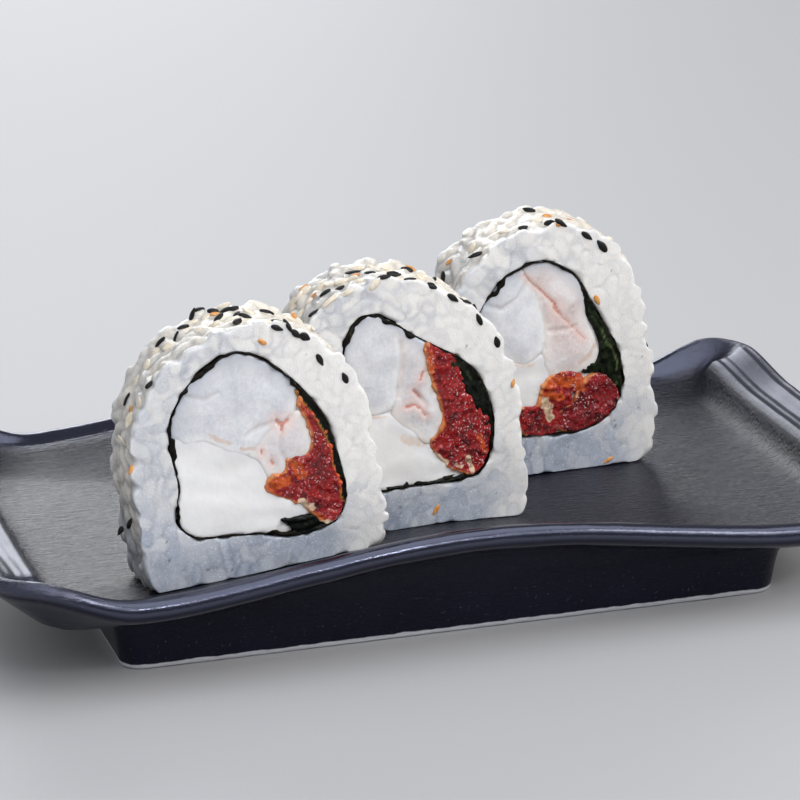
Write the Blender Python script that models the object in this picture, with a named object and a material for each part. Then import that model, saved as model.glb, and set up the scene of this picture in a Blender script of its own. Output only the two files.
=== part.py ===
"""Three inside-out sushi roll pieces standing on a footed ceramic plate, in metres, +Z up."""
import math

import bmesh
import bpy
import numpy as np
from mathutils import Matrix, Vector

MM = 0.001
SEED = 11

# Plate
RIM_HALF_LENGTH = 88.0
RIM_HALF_DEPTH = 48.0
RIM_TOP_MIDDLE = 24.4
RIM_TOP_DIP = 18.2
RIM_TOP_CORNER = 24.0
RIM_DIP_AT = 62.0
END_RIM_TOP = 22.2
FLOOR_Z = 15.0
FOOT_HALF_LENGTH = 62.5
FOOT_HALF_DEPTH = 33.5
FOOT_HEIGHT = 10.4
FOOT_RING_WIDTH = 5.0
FOOT_RECESS = 5.0
PLATE_THICKNESS = 4.8
CREASE_X = (0.0, 22.0, 43.5, 57.0, 72.0)
CREASE_Y = (2.0, 9.0, 20.5, 27.0, 33.0)

# Roll pieces
THICKNESS = 14.0
SECTION_CENTRE_Z = 22.5
RICE_STEPS = 52
LOOP_STEPS = 52
FILLING_STEPS = 44
NORI_THICKNESS = 0.8
GAP = 0.35
REST_GAP = 0.35
FACE_RECESS = 0.15
SEED_LENGTH = 3.1
SEED_WIDTH = 1.8
SEED_HEIGHT = 1.1

# Each roll: place of its front face, turn in degrees, base height and height, then the rice
# and seaweed outlines as (x, z) from the middle of the bottom edge.
# The leaf band is (first direction, last direction, thickness) seen from the section's middle.
# A filling is (name, centre x, centre z, half width, half height, turn).
ROLLS = (
    dict(
        place=(-37.5, -36.8), turn=3.0, base=17.2, height=46.0, white=11, black=12,
        rice=((-21.4, 4.0), (-23.2, 16.0), (-23.4, 27.0), (-21.2, 34.6), (-15.6, 40.8), (-8.0, 44.8),
              (0.8, 46.0), (8.0, 43.6), (14.0, 39.2), (18.5, 32.8), (20.8, 24.0), (22.2, 14.0),
              (23.2, 5.0), (21.5, 0.6), (8.0, 0.0), (-8.0, 0.0), (-18.8, 0.6)),
        nori=((-16.9, 29.5), (-15.2, 33.5), (-13.2, 36.4), (-9.2, 39.6), (-5.2, 41.3), (-1.0, 40.1),
              (3.3, 37.4), (7.8, 32.9), (11.8, 27.4), (13.6, 22.0), (15.2, 15.5), (15.3, 10.5),
              (12.8, 6.7), (6.3, 5.5), (0.0, 7.0), (-6.6, 7.7), (-12.3, 8.2), (-15.6, 11.5),
              (-15.4, 18.0), (-16.6, 24.0)),
        leaf=(52.0, -52.0, 2.2),
        fillings=(("shrimp_large", -5.0, 32.4, 12.8, 9.8, 0.0), ("shrimp_small", 5.2, 24.8, 5.0, 6.4, 20.0),
                  ("tomato", 9.2, 15.8, 8.0, 17.0, 10.0), ("cream_cheese", -5.6, 15.6, 14.0, 13.0, 0.0)),
    ),
    dict(
        place=(-3.8, -20.7), turn=3.0, base=15.7, height=48.2, white=12, black=11,
        rice=((-21.6, 4.0), (-22.2, 16.0), (-22.4, 28.0), (-21.9, 37.6), (-20.2, 42.2), (-16.5, 45.6),
              (-9.5, 48.2), (-2.0, 47.9), (5.0, 45.4), (11.0, 41.2), (16.0, 35.0), (19.3, 27.0),
              (21.0, 17.0), (21.6, 6.0), (20.0, 0.6), (8.0, 0.0), (-8.0, 0.0), (-20.0, 0.6)),
        nori=((-14.6, 30.0), (-14.3, 36.7), (-12.4, 40.6), (-8.9, 42.0), (-5.0, 40.3), (-1.0, 37.4),
              (3.3, 34.8), (8.3, 31.8), (12.0, 28.0), (14.3, 22.5), (15.0, 17.0), (14.0, 11.8),
              (11.0, 8.7), (4.5, 8.0), (-2.0, 8.0), (-8.0, 8.0), (-12.6, 9.2), (-14.7, 14.0),
              (-15.0, 22.0)),
        leaf=(62.0, -20.0, 2.8),
        fillings=(("shrimp_large", -7.2, 32.6, 8.0, 9.4, 0.0), ("shrimp_small", 0.6, 26.4, 5.2, 9.5, 20.0),
                  ("tomato", 8.4, 19.0, 8.0, 17.0, 12.0), ("cream_cheese", -5.2, 15.8, 13.0, 12.5, 0.0)),
    ),
    dict(
        place=(31.3, 1.6), turn=3.0, base=15.3, height=49.2, white=12, black=9,
        rice=((-20.8, 4.0), (-21.0, 16.0), (-20.9, 28.0), (-20.8, 37.0), (-18.0, 42.2), (-12.2, 46.4),
              (-6.0, 48.6), (0.0, 49.2), (6.2, 47.8), (12.4, 43.7), (15.9, 37.8), (18.1, 30.0),
              (19.6, 22.0), (20.9, 12.0), (20.9, 5.0), (18.5, 0.6), (6.0, 0.0), (-6.0, 0.0), (-19.0, 0.6)),
        nori=((-17.2, 26.0), (-15.9, 33.8), (-12.9, 37.5), (-11.2, 40.0), (-8.7, 41.2), (-5.8, 42.1),
              (-2.6, 42.3), (1.3, 40.6), (4.6, 37.5), (6.9, 33.3), (10.4, 27.5), (12.8, 22.7),
              (13.9, 17.1), (13.0, 12.8), (10.5, 9.6), (6.0, 7.6), (0.0, 7.3), (-7.0, 7.8),
              (-13.0, 8.5), (-16.2, 11.5), (-17.2, 18.0)),
        leaf=(58.0, -22.0, 3.6),
        fillings=(("shrimp_large", -8.2, 31.2, 8.6, 8.6, 0.0), ("shrimp_small", 1.8, 30.6, 6.4, 14.0, 20.0),
                  ("tomato_round", 7.4, 13.2, 6.2, 6.4, 0.0), ("tomato", -2.4, 13.4, 6.6, 8.2, -40.0),
                  ("cream_cheese", -9.8, 18.4, 10.0, 11.5, 0.0)),
    ),
)

GLAZE_DARK = (0.012, 0.012, 0.018, 1.0)
RICE_WHITE = (0.82, 0.81, 0.77, 1.0)
NORI_BLACK = (0.008, 0.012, 0.010, 1.0)
LEAF_GREEN = (0.010, 0.032, 0.016, 1.0)
FILLING_COLOURS = {
    "shrimp_large": (0.74, 0.76, 0.80, 1.0),
    "shrimp_small": (0.78, 0.60, 0.50, 1.0),
    "tomato": (0.42, 0.035, 0.018, 1.0),
    "tomato_round": (0.34, 0.018, 0.012, 1.0),
    "cream_cheese": (0.86, 0.85, 0.82, 1.0),
}


# General helpers
def smooth(value):
    t = np.clip(value, 0.0, 1.0)
    return t * t * (3.0 - 2.0 * t)


def material(name, colour, roughness):
    item = bpy.data.materials.new(name)
    item.use_nodes = True
    shader = item.node_tree.nodes["Principled BSDF"]
    shader.inputs["Base Color"].default_value = colour
    shader.inputs["Roughness"].default_value = roughness
    return item


def add_object(name, points, faces, skin):
    mesh = bpy.data.meshes.new(name)
    mesh.from_pydata([tuple(float(v) * MM for v in p) for p in points], [], faces)
    work = bmesh.new()
    work.from_mesh(mesh)
    bmesh.ops.triangulate(work, faces=work.faces[:])
    bmesh.ops.recalc_face_normals(work, faces=work.faces[:])
    work.to_mesh(mesh)
    work.free()
    mesh.materials.append(skin)
    item = bpy.data.objects.new(name, mesh)
    bpy.context.scene.collection.objects.link(item)
    return item


def loft(rings, start_point, end_point):
    """Closed body through rings of equal length, with a fan at each end."""
    count = len(rings[0])
    points = [tuple(p) for ring in rings for p in ring]
    faces = []
    for i in range(len(rings) - 1):
        for k in range(count):
            n = (k + 1) % count
            faces.append((i * count + k, i * count + n, (i + 1) * count + n, (i + 1) * count + k))
    last = (len(rings) - 1) * count
    points.append(tuple(start_point))
    points.append(tuple(end_point))
    for k in range(count):
        n = (k + 1) % count
        faces.append((n, k, len(points) - 2))
        faces.append((last + k, last + n, len(points) - 1))
    return points, faces


# Plate
def rim_top(x):
    reach = np.minimum(np.abs(x), RIM_DIP_AT) / RIM_DIP_AT
    arch = ((np.cos(math.pi * reach) + 1.0) / 2.0) ** 0.85
    corner = smooth((np.abs(x) - RIM_DIP_AT) / 20.0)
    low = RIM_TOP_DIP + (RIM_TOP_MIDDLE - RIM_TOP_DIP) * arch
    return low + (RIM_TOP_CORNER - RIM_TOP_DIP) * corner


def floor_top(x, y):
    """Height of the plate's upper face between the end walls."""
    crease = np.interp(np.abs(x), CREASE_X, CREASE_Y)
    rise = np.clip((np.abs(y) - crease) / (RIM_HALF_DEPTH - 2.7 - crease), 0.0, 1.0)
    return FLOOR_Z + (rim_top(x) + 0.3 - FLOOR_Z) * rise ** 2.6


def outline(half_x, half_y, corner):
    """Rounded rectangle with the same point order for every size, and how far each point is at an end."""
    side, end, arc = 13, 6, 4
    cx = half_x - corner
    cy = half_y - corner
    points = []
    weight = []
    for quarter, (sx, sy) in enumerate(((1, 1), (-1, 1), (-1, -1), (1, -1))):
        for k in range(arc):
            part = (k + 0.5) / arc
            angle = (quarter + part) * math.pi / 2
            points.append((sx * cx + corner * math.cos(angle), sy * cy + corner * math.sin(angle)))
            weight.append(1.0 - part if quarter % 2 == 0 else part)
        steps = side if quarter % 2 == 0 else end
        for k in range(steps):
            t = (k + 0.5) / steps * 2.0 - 1.0
            if quarter == 0:
                points.append((-cx * t, half_y))
            elif quarter == 1:
                points.append((-half_x, -cy * t))
            elif quarter == 2:
                points.append((cx * t, -half_y))
            else:
                points.append((half_x, cy * t))
            weight.append(0.0 if quarter % 2 == 0 else 1.0)
    return points, weight


def build_plate():
    # half length, half depth, offset of the long side from the rim line,
    # height of the end, share of corner rise
    upper = (
        (RIM_HALF_LENGTH, RIM_HALF_DEPTH, -1.9, -1.7, 1.0),
        (87.6, 47.5, -0.6, -0.5, 1.0),
        (86.9, 46.6, 0.1, 0.1, 1.0),
        (85.8, 45.3, 0.3, -0.3, 1.0),
        (84.4, 44.2, None, -0.1, 1.0),
        (82.8, 43.0, None, -1.2, 0.9),
        (80.2, 41.6, None, -1.6, 0.8),
        (78.6, 40.4, None, -1.2, 0.6),
        (77.5, 39.2, None, -2.0, 0.4),
        (76.3, 38.0, None, -5.6, 0.1),
        (74.6, 36.4, None, -7.0, 0.0),
        (71.0, 33.0, None, -7.2, 0.0),
        (60.0, 26.5, None, -7.2, 0.0),
        (46.0, 19.0, None, -7.2, 0.0),
        (30.0, 11.0, None, -7.2, 0.0),
        (16.0, 5.0, None, -7.2, 0.0),
    )
    lower = (
        (87.5, 47.4, -3.4, -3.2, 1.0),
        (85.6, 45.4, -4.5, -4.5, 1.0),
        (80.5, 41.0, None, -7.6, 0.6),
        (73.0, 37.8, None, -11.4, 0.1),
    )
    rings = []
    for half_x, half_y, long_offset, end_offset, share in reversed(upper):
        points, weights = outline(half_x, half_y, max(half_y - 37.0, 2.5) if half_y > 38 else 2.5)
        ring = []
        for (x, y), w in zip(points, weights):
            long_z = floor_top(x, y) if long_offset is None else rim_top(x) + long_offset
            corner_rise = (RIM_TOP_CORNER - END_RIM_TOP) * float(smooth((abs(y) - 18.0) / 20.0))
            end_z = END_RIM_TOP + end_offset + corner_rise * share
            blend = float(smooth(w))
            ring.append((x, y, (1.0 - blend) * float(long_z) + blend * end_z))
        rings.append(ring)
    for half_x, half_y, long_offset, end_offset, share in lower:
        points, weights = outline(half_x, half_y, max(half_y - 37.0, 3.0))
        ring = []
        for (x, y), w in zip(points, weights):
            under = float(floor_top(x, y)) - PLATE_THICKNESS
            long_z = under if long_offset is None else rim_top(x) + long_offset
            corner_rise = (RIM_TOP_CORNER - END_RIM_TOP) * float(smooth((abs(y) - 18.0) / 20.0))
            end_z = END_RIM_TOP + end_offset + corner_rise * share
            blend = float(smooth(w))
            ring.append((x, y, (1.0 - blend) * float(long_z) + blend * end_z))
        rings.append(ring)
    inner_x = FOOT_HALF_LENGTH - FOOT_RING_WIDTH
    inner_y = FOOT_HALF_DEPTH - FOOT_RING_WIDTH
    foot = (
        (FOOT_HALF_LENGTH + 2.4, FOOT_HALF_DEPTH + 2.0, 4.5, FOOT_HEIGHT),
        (FOOT_HALF_LENGTH + 0.9, FOOT_HALF_DEPTH + 0.7, 4.2, FOOT_HEIGHT - 2.0),
        (FOOT_HALF_LENGTH, FOOT_HALF_DEPTH, 4.0, 1.0),
        (FOOT_HALF_LENGTH - 0.7, FOOT_HALF_DEPTH - 0.7, 3.6, 0.0),
        (inner_x, inner_y, 3.0, 0.0),
        (inner_x - 1.0, inner_y - 1.0, 2.6, FOOT_RECESS),
    )
    for half_x, half_y, corner, z in foot:
        points, _ = outline(half_x, half_y, corner)
        rings.append([(x, y, z) for x, y in points])
    points, faces = loft(rings, (0.0, 0.0, FLOOR_Z), (0.0, 0.0, FOOT_RECESS))
    return add_object("plate", points, faces, material("dark_glaze", GLAZE_DARK, 0.3))


# Flat outlines of the roll sections
def closed_curve(control, steps):
    """Catmull-Rom curve through the control points."""
    control = np.asarray(control, float)
    count = len(control)
    result = []
    for i in range(count):
        a, b, c, d = (control[(i + k - 1) % count] for k in range(4))
        for t in np.arange(steps) / steps:
            value = 2 * b + (c - a) * t + (2 * a - 5 * b + 4 * c - d) * t * t
            value = value + (3 * b - a - 3 * c + d) * t ** 3
            result.append(value / 2)
    return np.array(result)


def offset(points, distance):
    """Moves a counter-clockwise or clockwise outline outwards by a distance."""
    before = np.roll(points, 1, axis=0)
    after = np.roll(points, -1, axis=0)
    along = after - before
    area = np.sum(points[:, 0] * after[:, 1] - after[:, 0] * points[:, 1])
    normal = np.stack([along[:, 1], -along[:, 0]], axis=1) * np.sign(area)
    normal = normal / np.maximum(np.linalg.norm(normal, axis=1), 1e-9)[:, None]
    return points + normal * np.asarray(distance).reshape(-1, 1)


def reach(points, origin, angle):
    """Distance from origin to the outline in a direction, or a large value."""
    direction = np.array([math.cos(angle), math.sin(angle)])
    a = points - origin
    b = np.roll(points, -1, axis=0) - origin
    side = np.array([-direction[1], direction[0]])
    da = a @ side
    db = b @ side
    hit = (da > 0) != (db > 0)
    if not hit.any():
        return 1e3
    t = da[hit] / (da[hit] - db[hit])
    along = (a[hit] + (b[hit] - a[hit]) * t[:, None]) @ direction
    along = along[along > 0]
    return float(along.min()) if len(along) else 1e3


def ellipse(cx, cz, half_x, half_z, turn, count=96):
    angle = np.arange(count) / count * 2 * math.pi
    x = half_x * np.cos(angle)
    z = half_z * np.sin(angle)
    c, s = math.cos(math.radians(turn)), math.sin(math.radians(turn))
    return np.stack([cx + c * x - s * z, cz + s * x + c * z], axis=1)


def cell_bumps(perimeter, spacing_u, spacing_v, length, rng):
    """Places of rice grains over the unrolled outer face: u along the outline, v along the axis."""
    grains = []
    rows = max(2, round(length / spacing_v))
    columns = round(perimeter / spacing_u)
    for row in range(rows):
        for column in range(columns):
            u = (column + 0.5 * (row % 2) + rng.uniform(-0.25, 0.25)) * perimeter / columns
            v = (row + 0.5 + rng.uniform(-0.25, 0.25)) * length / rows
            grains.append((u, v, rng.uniform(0.0, math.pi), rng.uniform(0.5, 1.0)))
    return np.array(grains)


def bump_height(u, v, grains, perimeter):
    du = (grains[:, 0] - u + perimeter / 2) % perimeter - perimeter / 2
    dv = grains[:, 1] - v
    c, s = np.cos(grains[:, 2]), np.sin(grains[:, 2])
    along = (c * du + s * dv) / 3.2
    across = (c * dv - s * du) / 2.0
    height = grains[:, 3] * (1.0 - along ** 2 - across ** 2)
    return max(float(height.max()), -0.4)


# Placing a section point in the roll's own frame
def settle(roll, points):
    """Lets the lower part of the piece follow the plate under it."""
    angle = math.radians(roll["turn"])
    c, s = math.cos(angle), math.sin(angle)
    px, py = roll["place"]
    result = []
    for x, y, z in points:
        wx = px + c * x - s * y
        wy = py + s * x + c * y
        drop = float(floor_top(wx, wy)) + REST_GAP - roll["base"]
        result.append((x, y, z + drop * (1.0 - float(smooth(z / 14.0)))))
    return result


def place(item, roll):
    item.location = (roll["place"][0] * MM, roll["place"][1] * MM, roll["base"] * MM)
    item.rotation_euler = (0.0, 0.0, math.radians(roll["turn"]))
    return item


def tube(outer, inner, front, back):
    """Closed ring body between two outlines with the same number of points."""
    count = len(outer)
    rings = [
        [(x, front, z) for x, z in inner],
        [(x, front, z) for x, z in outer],
        [(x, back, z) for x, z in outer],
        [(x, back, z) for x, z in inner],
    ]
    points = [p for ring in rings for p in ring]
    faces = []
    for i in range(4):
        j = (i + 1) % 4
        for k in range(count):
            n = (k + 1) % count
            faces.append((i * count + k, i * count + n, j * count + n, j * count + k))
    return points, faces


def ray_outline(points, origin, count):
    angles = np.arange(count) / count * 2 * math.pi
    directions = np.column_stack([np.cos(angles), np.sin(angles)])
    return np.array([origin + reach(points, origin, a) * way for a, way in zip(angles, directions)])


# Rice with its fused sesame
def seed_mesh(name, skin):
    rings = []
    for level in (-0.62, 0.0, 0.62):
        radius = math.sqrt(1.0 - level * level)
        ring = []
        for k in range(6):
            a = (k + 0.5 * (level == 0.0)) / 6 * 2 * math.pi
            ring.append((level * SEED_LENGTH / 2, radius * SEED_WIDTH / 2 * math.cos(a),
                         radius * SEED_HEIGHT / 2 * math.sin(a)))
        rings.append(ring)
    points, faces = loft(rings, (-SEED_LENGTH / 2, 0.0, 0.0), (SEED_LENGTH / 2, 0.0, 0.0))
    return add_object(name, points, faces, skin)


def build_rice(number, roll, hole, rng, skin):
    origin = np.array([0.0, SECTION_CENTRE_Z])
    outer = ray_outline(offset(closed_curve(roll["rice"], 6), -0.3), origin, RICE_STEPS)
    inner = ray_outline(hole, origin, RICE_STEPS)
    step = np.linalg.norm(np.roll(outer, -1, axis=0) - outer, axis=1)
    travel = np.concatenate([[0.0], np.cumsum(step)[:-1]])
    perimeter = float(step.sum())
    grains = cell_bumps(perimeter, 4.6, 3.4, THICKNESS, rng)
    normal = offset(outer, 1.0) - outer
    stations = (0.0, 0.9, 3.9, 7.0, 10.1, 13.1, THICKNESS)
    rings = []
    for y in stations:
        ring = []
        edge = 0.75 if y in (0.0, THICKNESS) else 0.0
        for k in range(RICE_STEPS):
            lift = 0.55 * bump_height(travel[k], y, grains, perimeter) - edge
            x, z = outer[k] + normal[k] * lift
            ring.append((x, y, max(z, 0.0)))
        rings.append(ring)
    for share, y, sink in ((0.45, THICKNESS, -0.2), (1.0, THICKNESS, 0.0)):
        flat = outer + (inner - outer) * share
        rings.append([(x, y + sink * rng.uniform(0, 1), max(z, 0.0)) for x, z in flat])
    for share, y, sink in ((1.0, 0.0, 0.0), (0.45, 0.0, 0.2)):
        flat = outer + (inner - outer) * share
        rings.append([(x, y + sink * rng.uniform(0, 1), max(z, 0.0)) for x, z in flat])
    points = [p for ring in rings for p in ring]
    faces = []
    for i in range(len(rings)):
        j = (i + 1) % len(rings)
        for k in range(RICE_STEPS):
            n = (k + 1) % RICE_STEPS
            faces.append((i * RICE_STEPS + k, i * RICE_STEPS + n, j * RICE_STEPS + n, j * RICE_STEPS + k))
    rice = add_object(f"rice_{number}", settle(roll, points), faces, skin)
    add_sesame(rice, roll, outer, normal, grains, travel, perimeter, rng, skin)
    return place(rice, roll)


def add_sesame(rice, roll, outer, normal, grains, travel, perimeter, rng, skin):
    """Seeds lie over the round top and thin out down the sides."""
    box = bpy.data.collections.new("seeds")
    bpy.context.scene.collection.children.link(box)
    total = roll["white"] + roll["black"]
    taken = []
    tries = 0
    while len(taken) < total and tries < 4000:
        tries += 1
        k = int(rng.integers(0, RICE_STEPS))
        v = rng.uniform(2.2, THICKNESS - 2.2)
        height = outer[k][1] / roll["height"]
        if rng.uniform() > smooth((height - 0.25) / 0.6) + 0.04 or height < 0.12:
            continue
        spot = np.array([travel[k], v])
        if any(np.linalg.norm(spot - other) < 4.0 for other in taken):
            continue
        taken.append(spot)
        rise = 0.55 * bump_height(travel[k], v, grains, perimeter)
        x, z = outer[k] + normal[k] * (rise + 0.12)
        seed = seed_mesh("seed", skin)
        up = Vector((normal[k][0], 0.0, normal[k][1]))
        side = Vector((0.0, 1.0, 0.0))
        frame = Matrix((side, up.cross(side), up)).transposed().to_4x4()
        spot_z = settle(roll, [(x, v, z)])[0][2]
        seed.matrix_world = Matrix.Translation((x * MM, v * MM, spot_z * MM)) @ frame @ Matrix.Rotation(
            rng.uniform(0.0, math.pi), 4, "Z")
        bpy.context.scene.collection.objects.unlink(seed)
        box.objects.link(seed)
    join = rice.modifiers.new("join", "BOOLEAN")
    join.operation = "UNION"
    join.operand_type = "COLLECTION"
    join.collection = box
    join.solver = "EXACT"
    bpy.context.view_layer.update()
    solid = bpy.data.meshes.new_from_object(rice.evaluated_get(bpy.context.evaluated_depsgraph_get()))
    rice.modifiers.clear()
    rice.data = solid
    for seed in list(box.objects):
        bpy.data.objects.remove(seed, do_unlink=True)
    bpy.data.collections.remove(box)


# Nori, leaf and fillings
def leaf_depth(angles, band):
    """Thickness of the leaf band by direction from the section centre, in degrees."""
    start, end, thickness = band
    degrees = (np.degrees(angles) + 180.0) % 360.0 - 180.0
    inside = (degrees <= start) & (degrees >= end)
    taper = np.minimum((start - degrees) / 14.0, (degrees - end) / 14.0)
    wave = 1.0 + 0.18 * np.sin(np.radians(degrees) * 7.0)
    return np.where(inside, thickness * wave * smooth(taper) ** 0.5, 0.0)


def build_leaf(number, roll, limit, depth, angles, skin):
    used = [k for k in range(len(angles)) if depth[k] > 0.35]
    order = sorted(used, key=lambda k: (math.degrees(angles[k]) + 180.0) % 360.0)
    outer = limit[order]
    inner = offset(limit, -depth)[order]
    flat = np.concatenate([outer, inner[::-1]])
    front, back = FACE_RECESS, THICKNESS - FACE_RECESS
    count = len(flat)
    half = count // 2
    points = [(x, front, z) for x, z in flat] + [(x, back, z) for x, z in flat]
    faces = []
    for k in range(count):
        n = (k + 1) % count
        faces.append((k, n, count + n, count + k))
    for k in range(half - 1):
        a, b, c, d = k, k + 1, count - 2 - k, count - 1 - k
        faces.append((a, b, c, d))
        faces.append((count + a, count + d, count + c, count + b))
    leaf = add_object(f"leaf_{number}", settle(roll, points), faces, skin)
    return place(leaf, roll)


def build_filling(name, roll, spec, limit, earlier, rng, skin):
    _, cx, cz, half_x, half_z, turn = spec
    centre = np.array([cx, cz])
    own = ellipse(cx, cz, half_x, half_z, turn)
    count = FILLING_STEPS
    swollen = [offset(other, GAP) for other in earlier]
    radii = []
    for k in range(count):
        near = []
        for part in (-0.5, 0.0, 0.5):
            angle = (k + part) / count * 2 * math.pi
            near.append(reach(limit, centre, angle) - 0.1)
            near += [reach(other, centre, angle) - 0.1 for other in swollen]
        edge = reach(own, centre, k / count * 2 * math.pi) * rng.uniform(0.98, 1.0)
        radii.append(max(min(near + [edge]), 0.5))
    angles = np.arange(count) / count * 2 * math.pi
    radii = np.array(radii)
    flat = centre + np.stack([radii * np.cos(angles), radii * np.sin(angles)], axis=1)
    front, back = FACE_RECESS, THICKNESS - FACE_RECESS
    rings = [settle(roll, [(x, y, z) for x, z in flat]) for y in (front, back)]
    ends = settle(roll, [(cx, front, cz), (cx, back, cz)])
    points, faces = loft(rings, ends[0], ends[1])
    place(add_object(name, points, faces, skin), roll)
    return flat


def build_roll(number, roll, skins):
    rng = np.random.default_rng(SEED + number)
    origin = np.array([0.0, SECTION_CENTRE_Z])
    count = LOOP_STEPS
    angles = np.arange(count) / count * 2 * math.pi
    seaweed = ray_outline(closed_curve(roll["nori"], 6), origin, count)
    nori_inner = offset(seaweed, -NORI_THICKNESS)
    build_rice(number, roll, offset(seaweed, GAP), rng, skins["rice"])
    points, faces = tube(seaweed, nori_inner, FACE_RECESS, THICKNESS - FACE_RECESS)
    place(add_object(f"nori_{number}", settle(roll, points), faces, skins["nori"]), roll)
    limit = offset(nori_inner, -GAP)
    depth = leaf_depth(angles, roll["leaf"])
    build_leaf(number, roll, limit, depth, angles, skins["leaf"])
    room = offset(limit, -np.where(depth > 0.0, depth + GAP, 0.0))
    earlier = []
    for spec in roll["fillings"]:
        name = f"{spec[0]}_{number}"
        earlier.append(build_filling(name, roll, spec, room, earlier, rng, skins[spec[0]]))


def main():
    for item in list(bpy.data.objects):
        bpy.data.objects.remove(item, do_unlink=True)
    build_plate()
    skins = {
        "rice": material("rice", RICE_WHITE, 0.45),
        "nori": material("nori", NORI_BLACK, 0.5),
        "leaf": material("leaf", LEAF_GREEN, 0.5),
    }
    for name, colour in FILLING_COLOURS.items():
        skins[name] = material(name, colour, 0.4)
    for number, roll in enumerate(ROLLS, start=1):
        build_roll(number, roll, skins)


main()
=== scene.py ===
"""Looks for three inside-out sushi roll pieces on a dark glazed footed plate.

Tables are in millimetres in the row frame. A roll's own section is drawn as (x, z) from the middle
of its bottom edge, and y runs from its front face at 0 to its back face at THICKNESS.
"""

import math

import bmesh
import bpy
import numpy as np
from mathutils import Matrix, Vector
from mathutils.bvhtree import BVHTree
from mathutils.kdtree import KDTree

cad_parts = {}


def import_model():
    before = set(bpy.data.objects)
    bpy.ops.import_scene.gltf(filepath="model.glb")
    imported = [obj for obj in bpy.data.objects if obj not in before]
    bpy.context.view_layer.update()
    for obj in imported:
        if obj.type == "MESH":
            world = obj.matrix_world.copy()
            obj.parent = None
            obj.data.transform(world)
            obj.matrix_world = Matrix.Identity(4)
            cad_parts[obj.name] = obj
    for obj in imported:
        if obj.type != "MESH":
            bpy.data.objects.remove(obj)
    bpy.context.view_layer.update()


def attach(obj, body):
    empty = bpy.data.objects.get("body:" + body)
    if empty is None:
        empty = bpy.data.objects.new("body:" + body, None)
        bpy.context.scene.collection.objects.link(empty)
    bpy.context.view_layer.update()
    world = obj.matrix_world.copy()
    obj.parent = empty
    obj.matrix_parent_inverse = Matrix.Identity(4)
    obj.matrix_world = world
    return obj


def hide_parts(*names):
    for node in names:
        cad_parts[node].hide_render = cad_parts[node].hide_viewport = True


MM = 0.001
SEED = 23

# Camera that matches the photograph
IMAGE_SIZE = 800
CAMERA_PLACE = (-185.8, -577.0, 239.2)
CAMERA_TARGET = (29.55, 94.38, 0.0)
CAMERA_LENS = 154.0
SENSOR = 36.0

# Plate, the same named sizes as the solid
RIM_HALF_DEPTH = 48.0
RIM_TOP_MIDDLE = 24.4
RIM_TOP_DIP = 18.2
RIM_TOP_CORNER = 24.0
RIM_DIP_AT = 62.0
END_RIM_TOP = 22.2
FLOOR_Z = 15.0
FOOT_HALF_LENGTH = 62.5
FOOT_HALF_DEPTH = 33.5
FOOT_HEIGHT = 10.4
FOOT_RING_WIDTH = 5.0
FOOT_RECESS = 5.0
RIDGE_TURN = 3.2
PLATE_THICKNESS = 4.8
CREASE_X = (0.0, 22.0, 43.5, 57.0, 72.0)
CREASE_Y = (2.0, 9.0, 20.5, 27.0, 33.0)

# Rolls
THICKNESS = 14.0
SECTION_CENTRE = (0.0, 22.5)
REST_GAP = 0.2
GRAIN_LENGTH = 5.7
GRAIN_WIDTH = 3.2
GRAIN_HEIGHT = 2.6
RICE_VOXEL = 0.38
FILLING_VOXEL = 0.36
CHEESE_VOXEL = 0.48
LEAF_VOXEL = 0.36
TOMATO_VOXEL = 0.26
FACE_INSET = 0.42
FILLER_INSET = 0.85
NORI_CLEARANCE = 0.25
CUT_START = 0.46
CUT_RELIEF = 0.13
SIDE_RELIEF = 0.28
CROWN_HEIGHT = 0.42
CROWN_REACH = 6.5
SIDE_GRAIN_SPACING = 2.75
FACE_GRAIN_SPACING = 2.4
LUMP_SPACING = 0.72
NORI_POINTS = 420
LOOP_STEPS = 8
RING_POINTS = 360
DISTANCE_TO_ROLLS = 745.0

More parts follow.
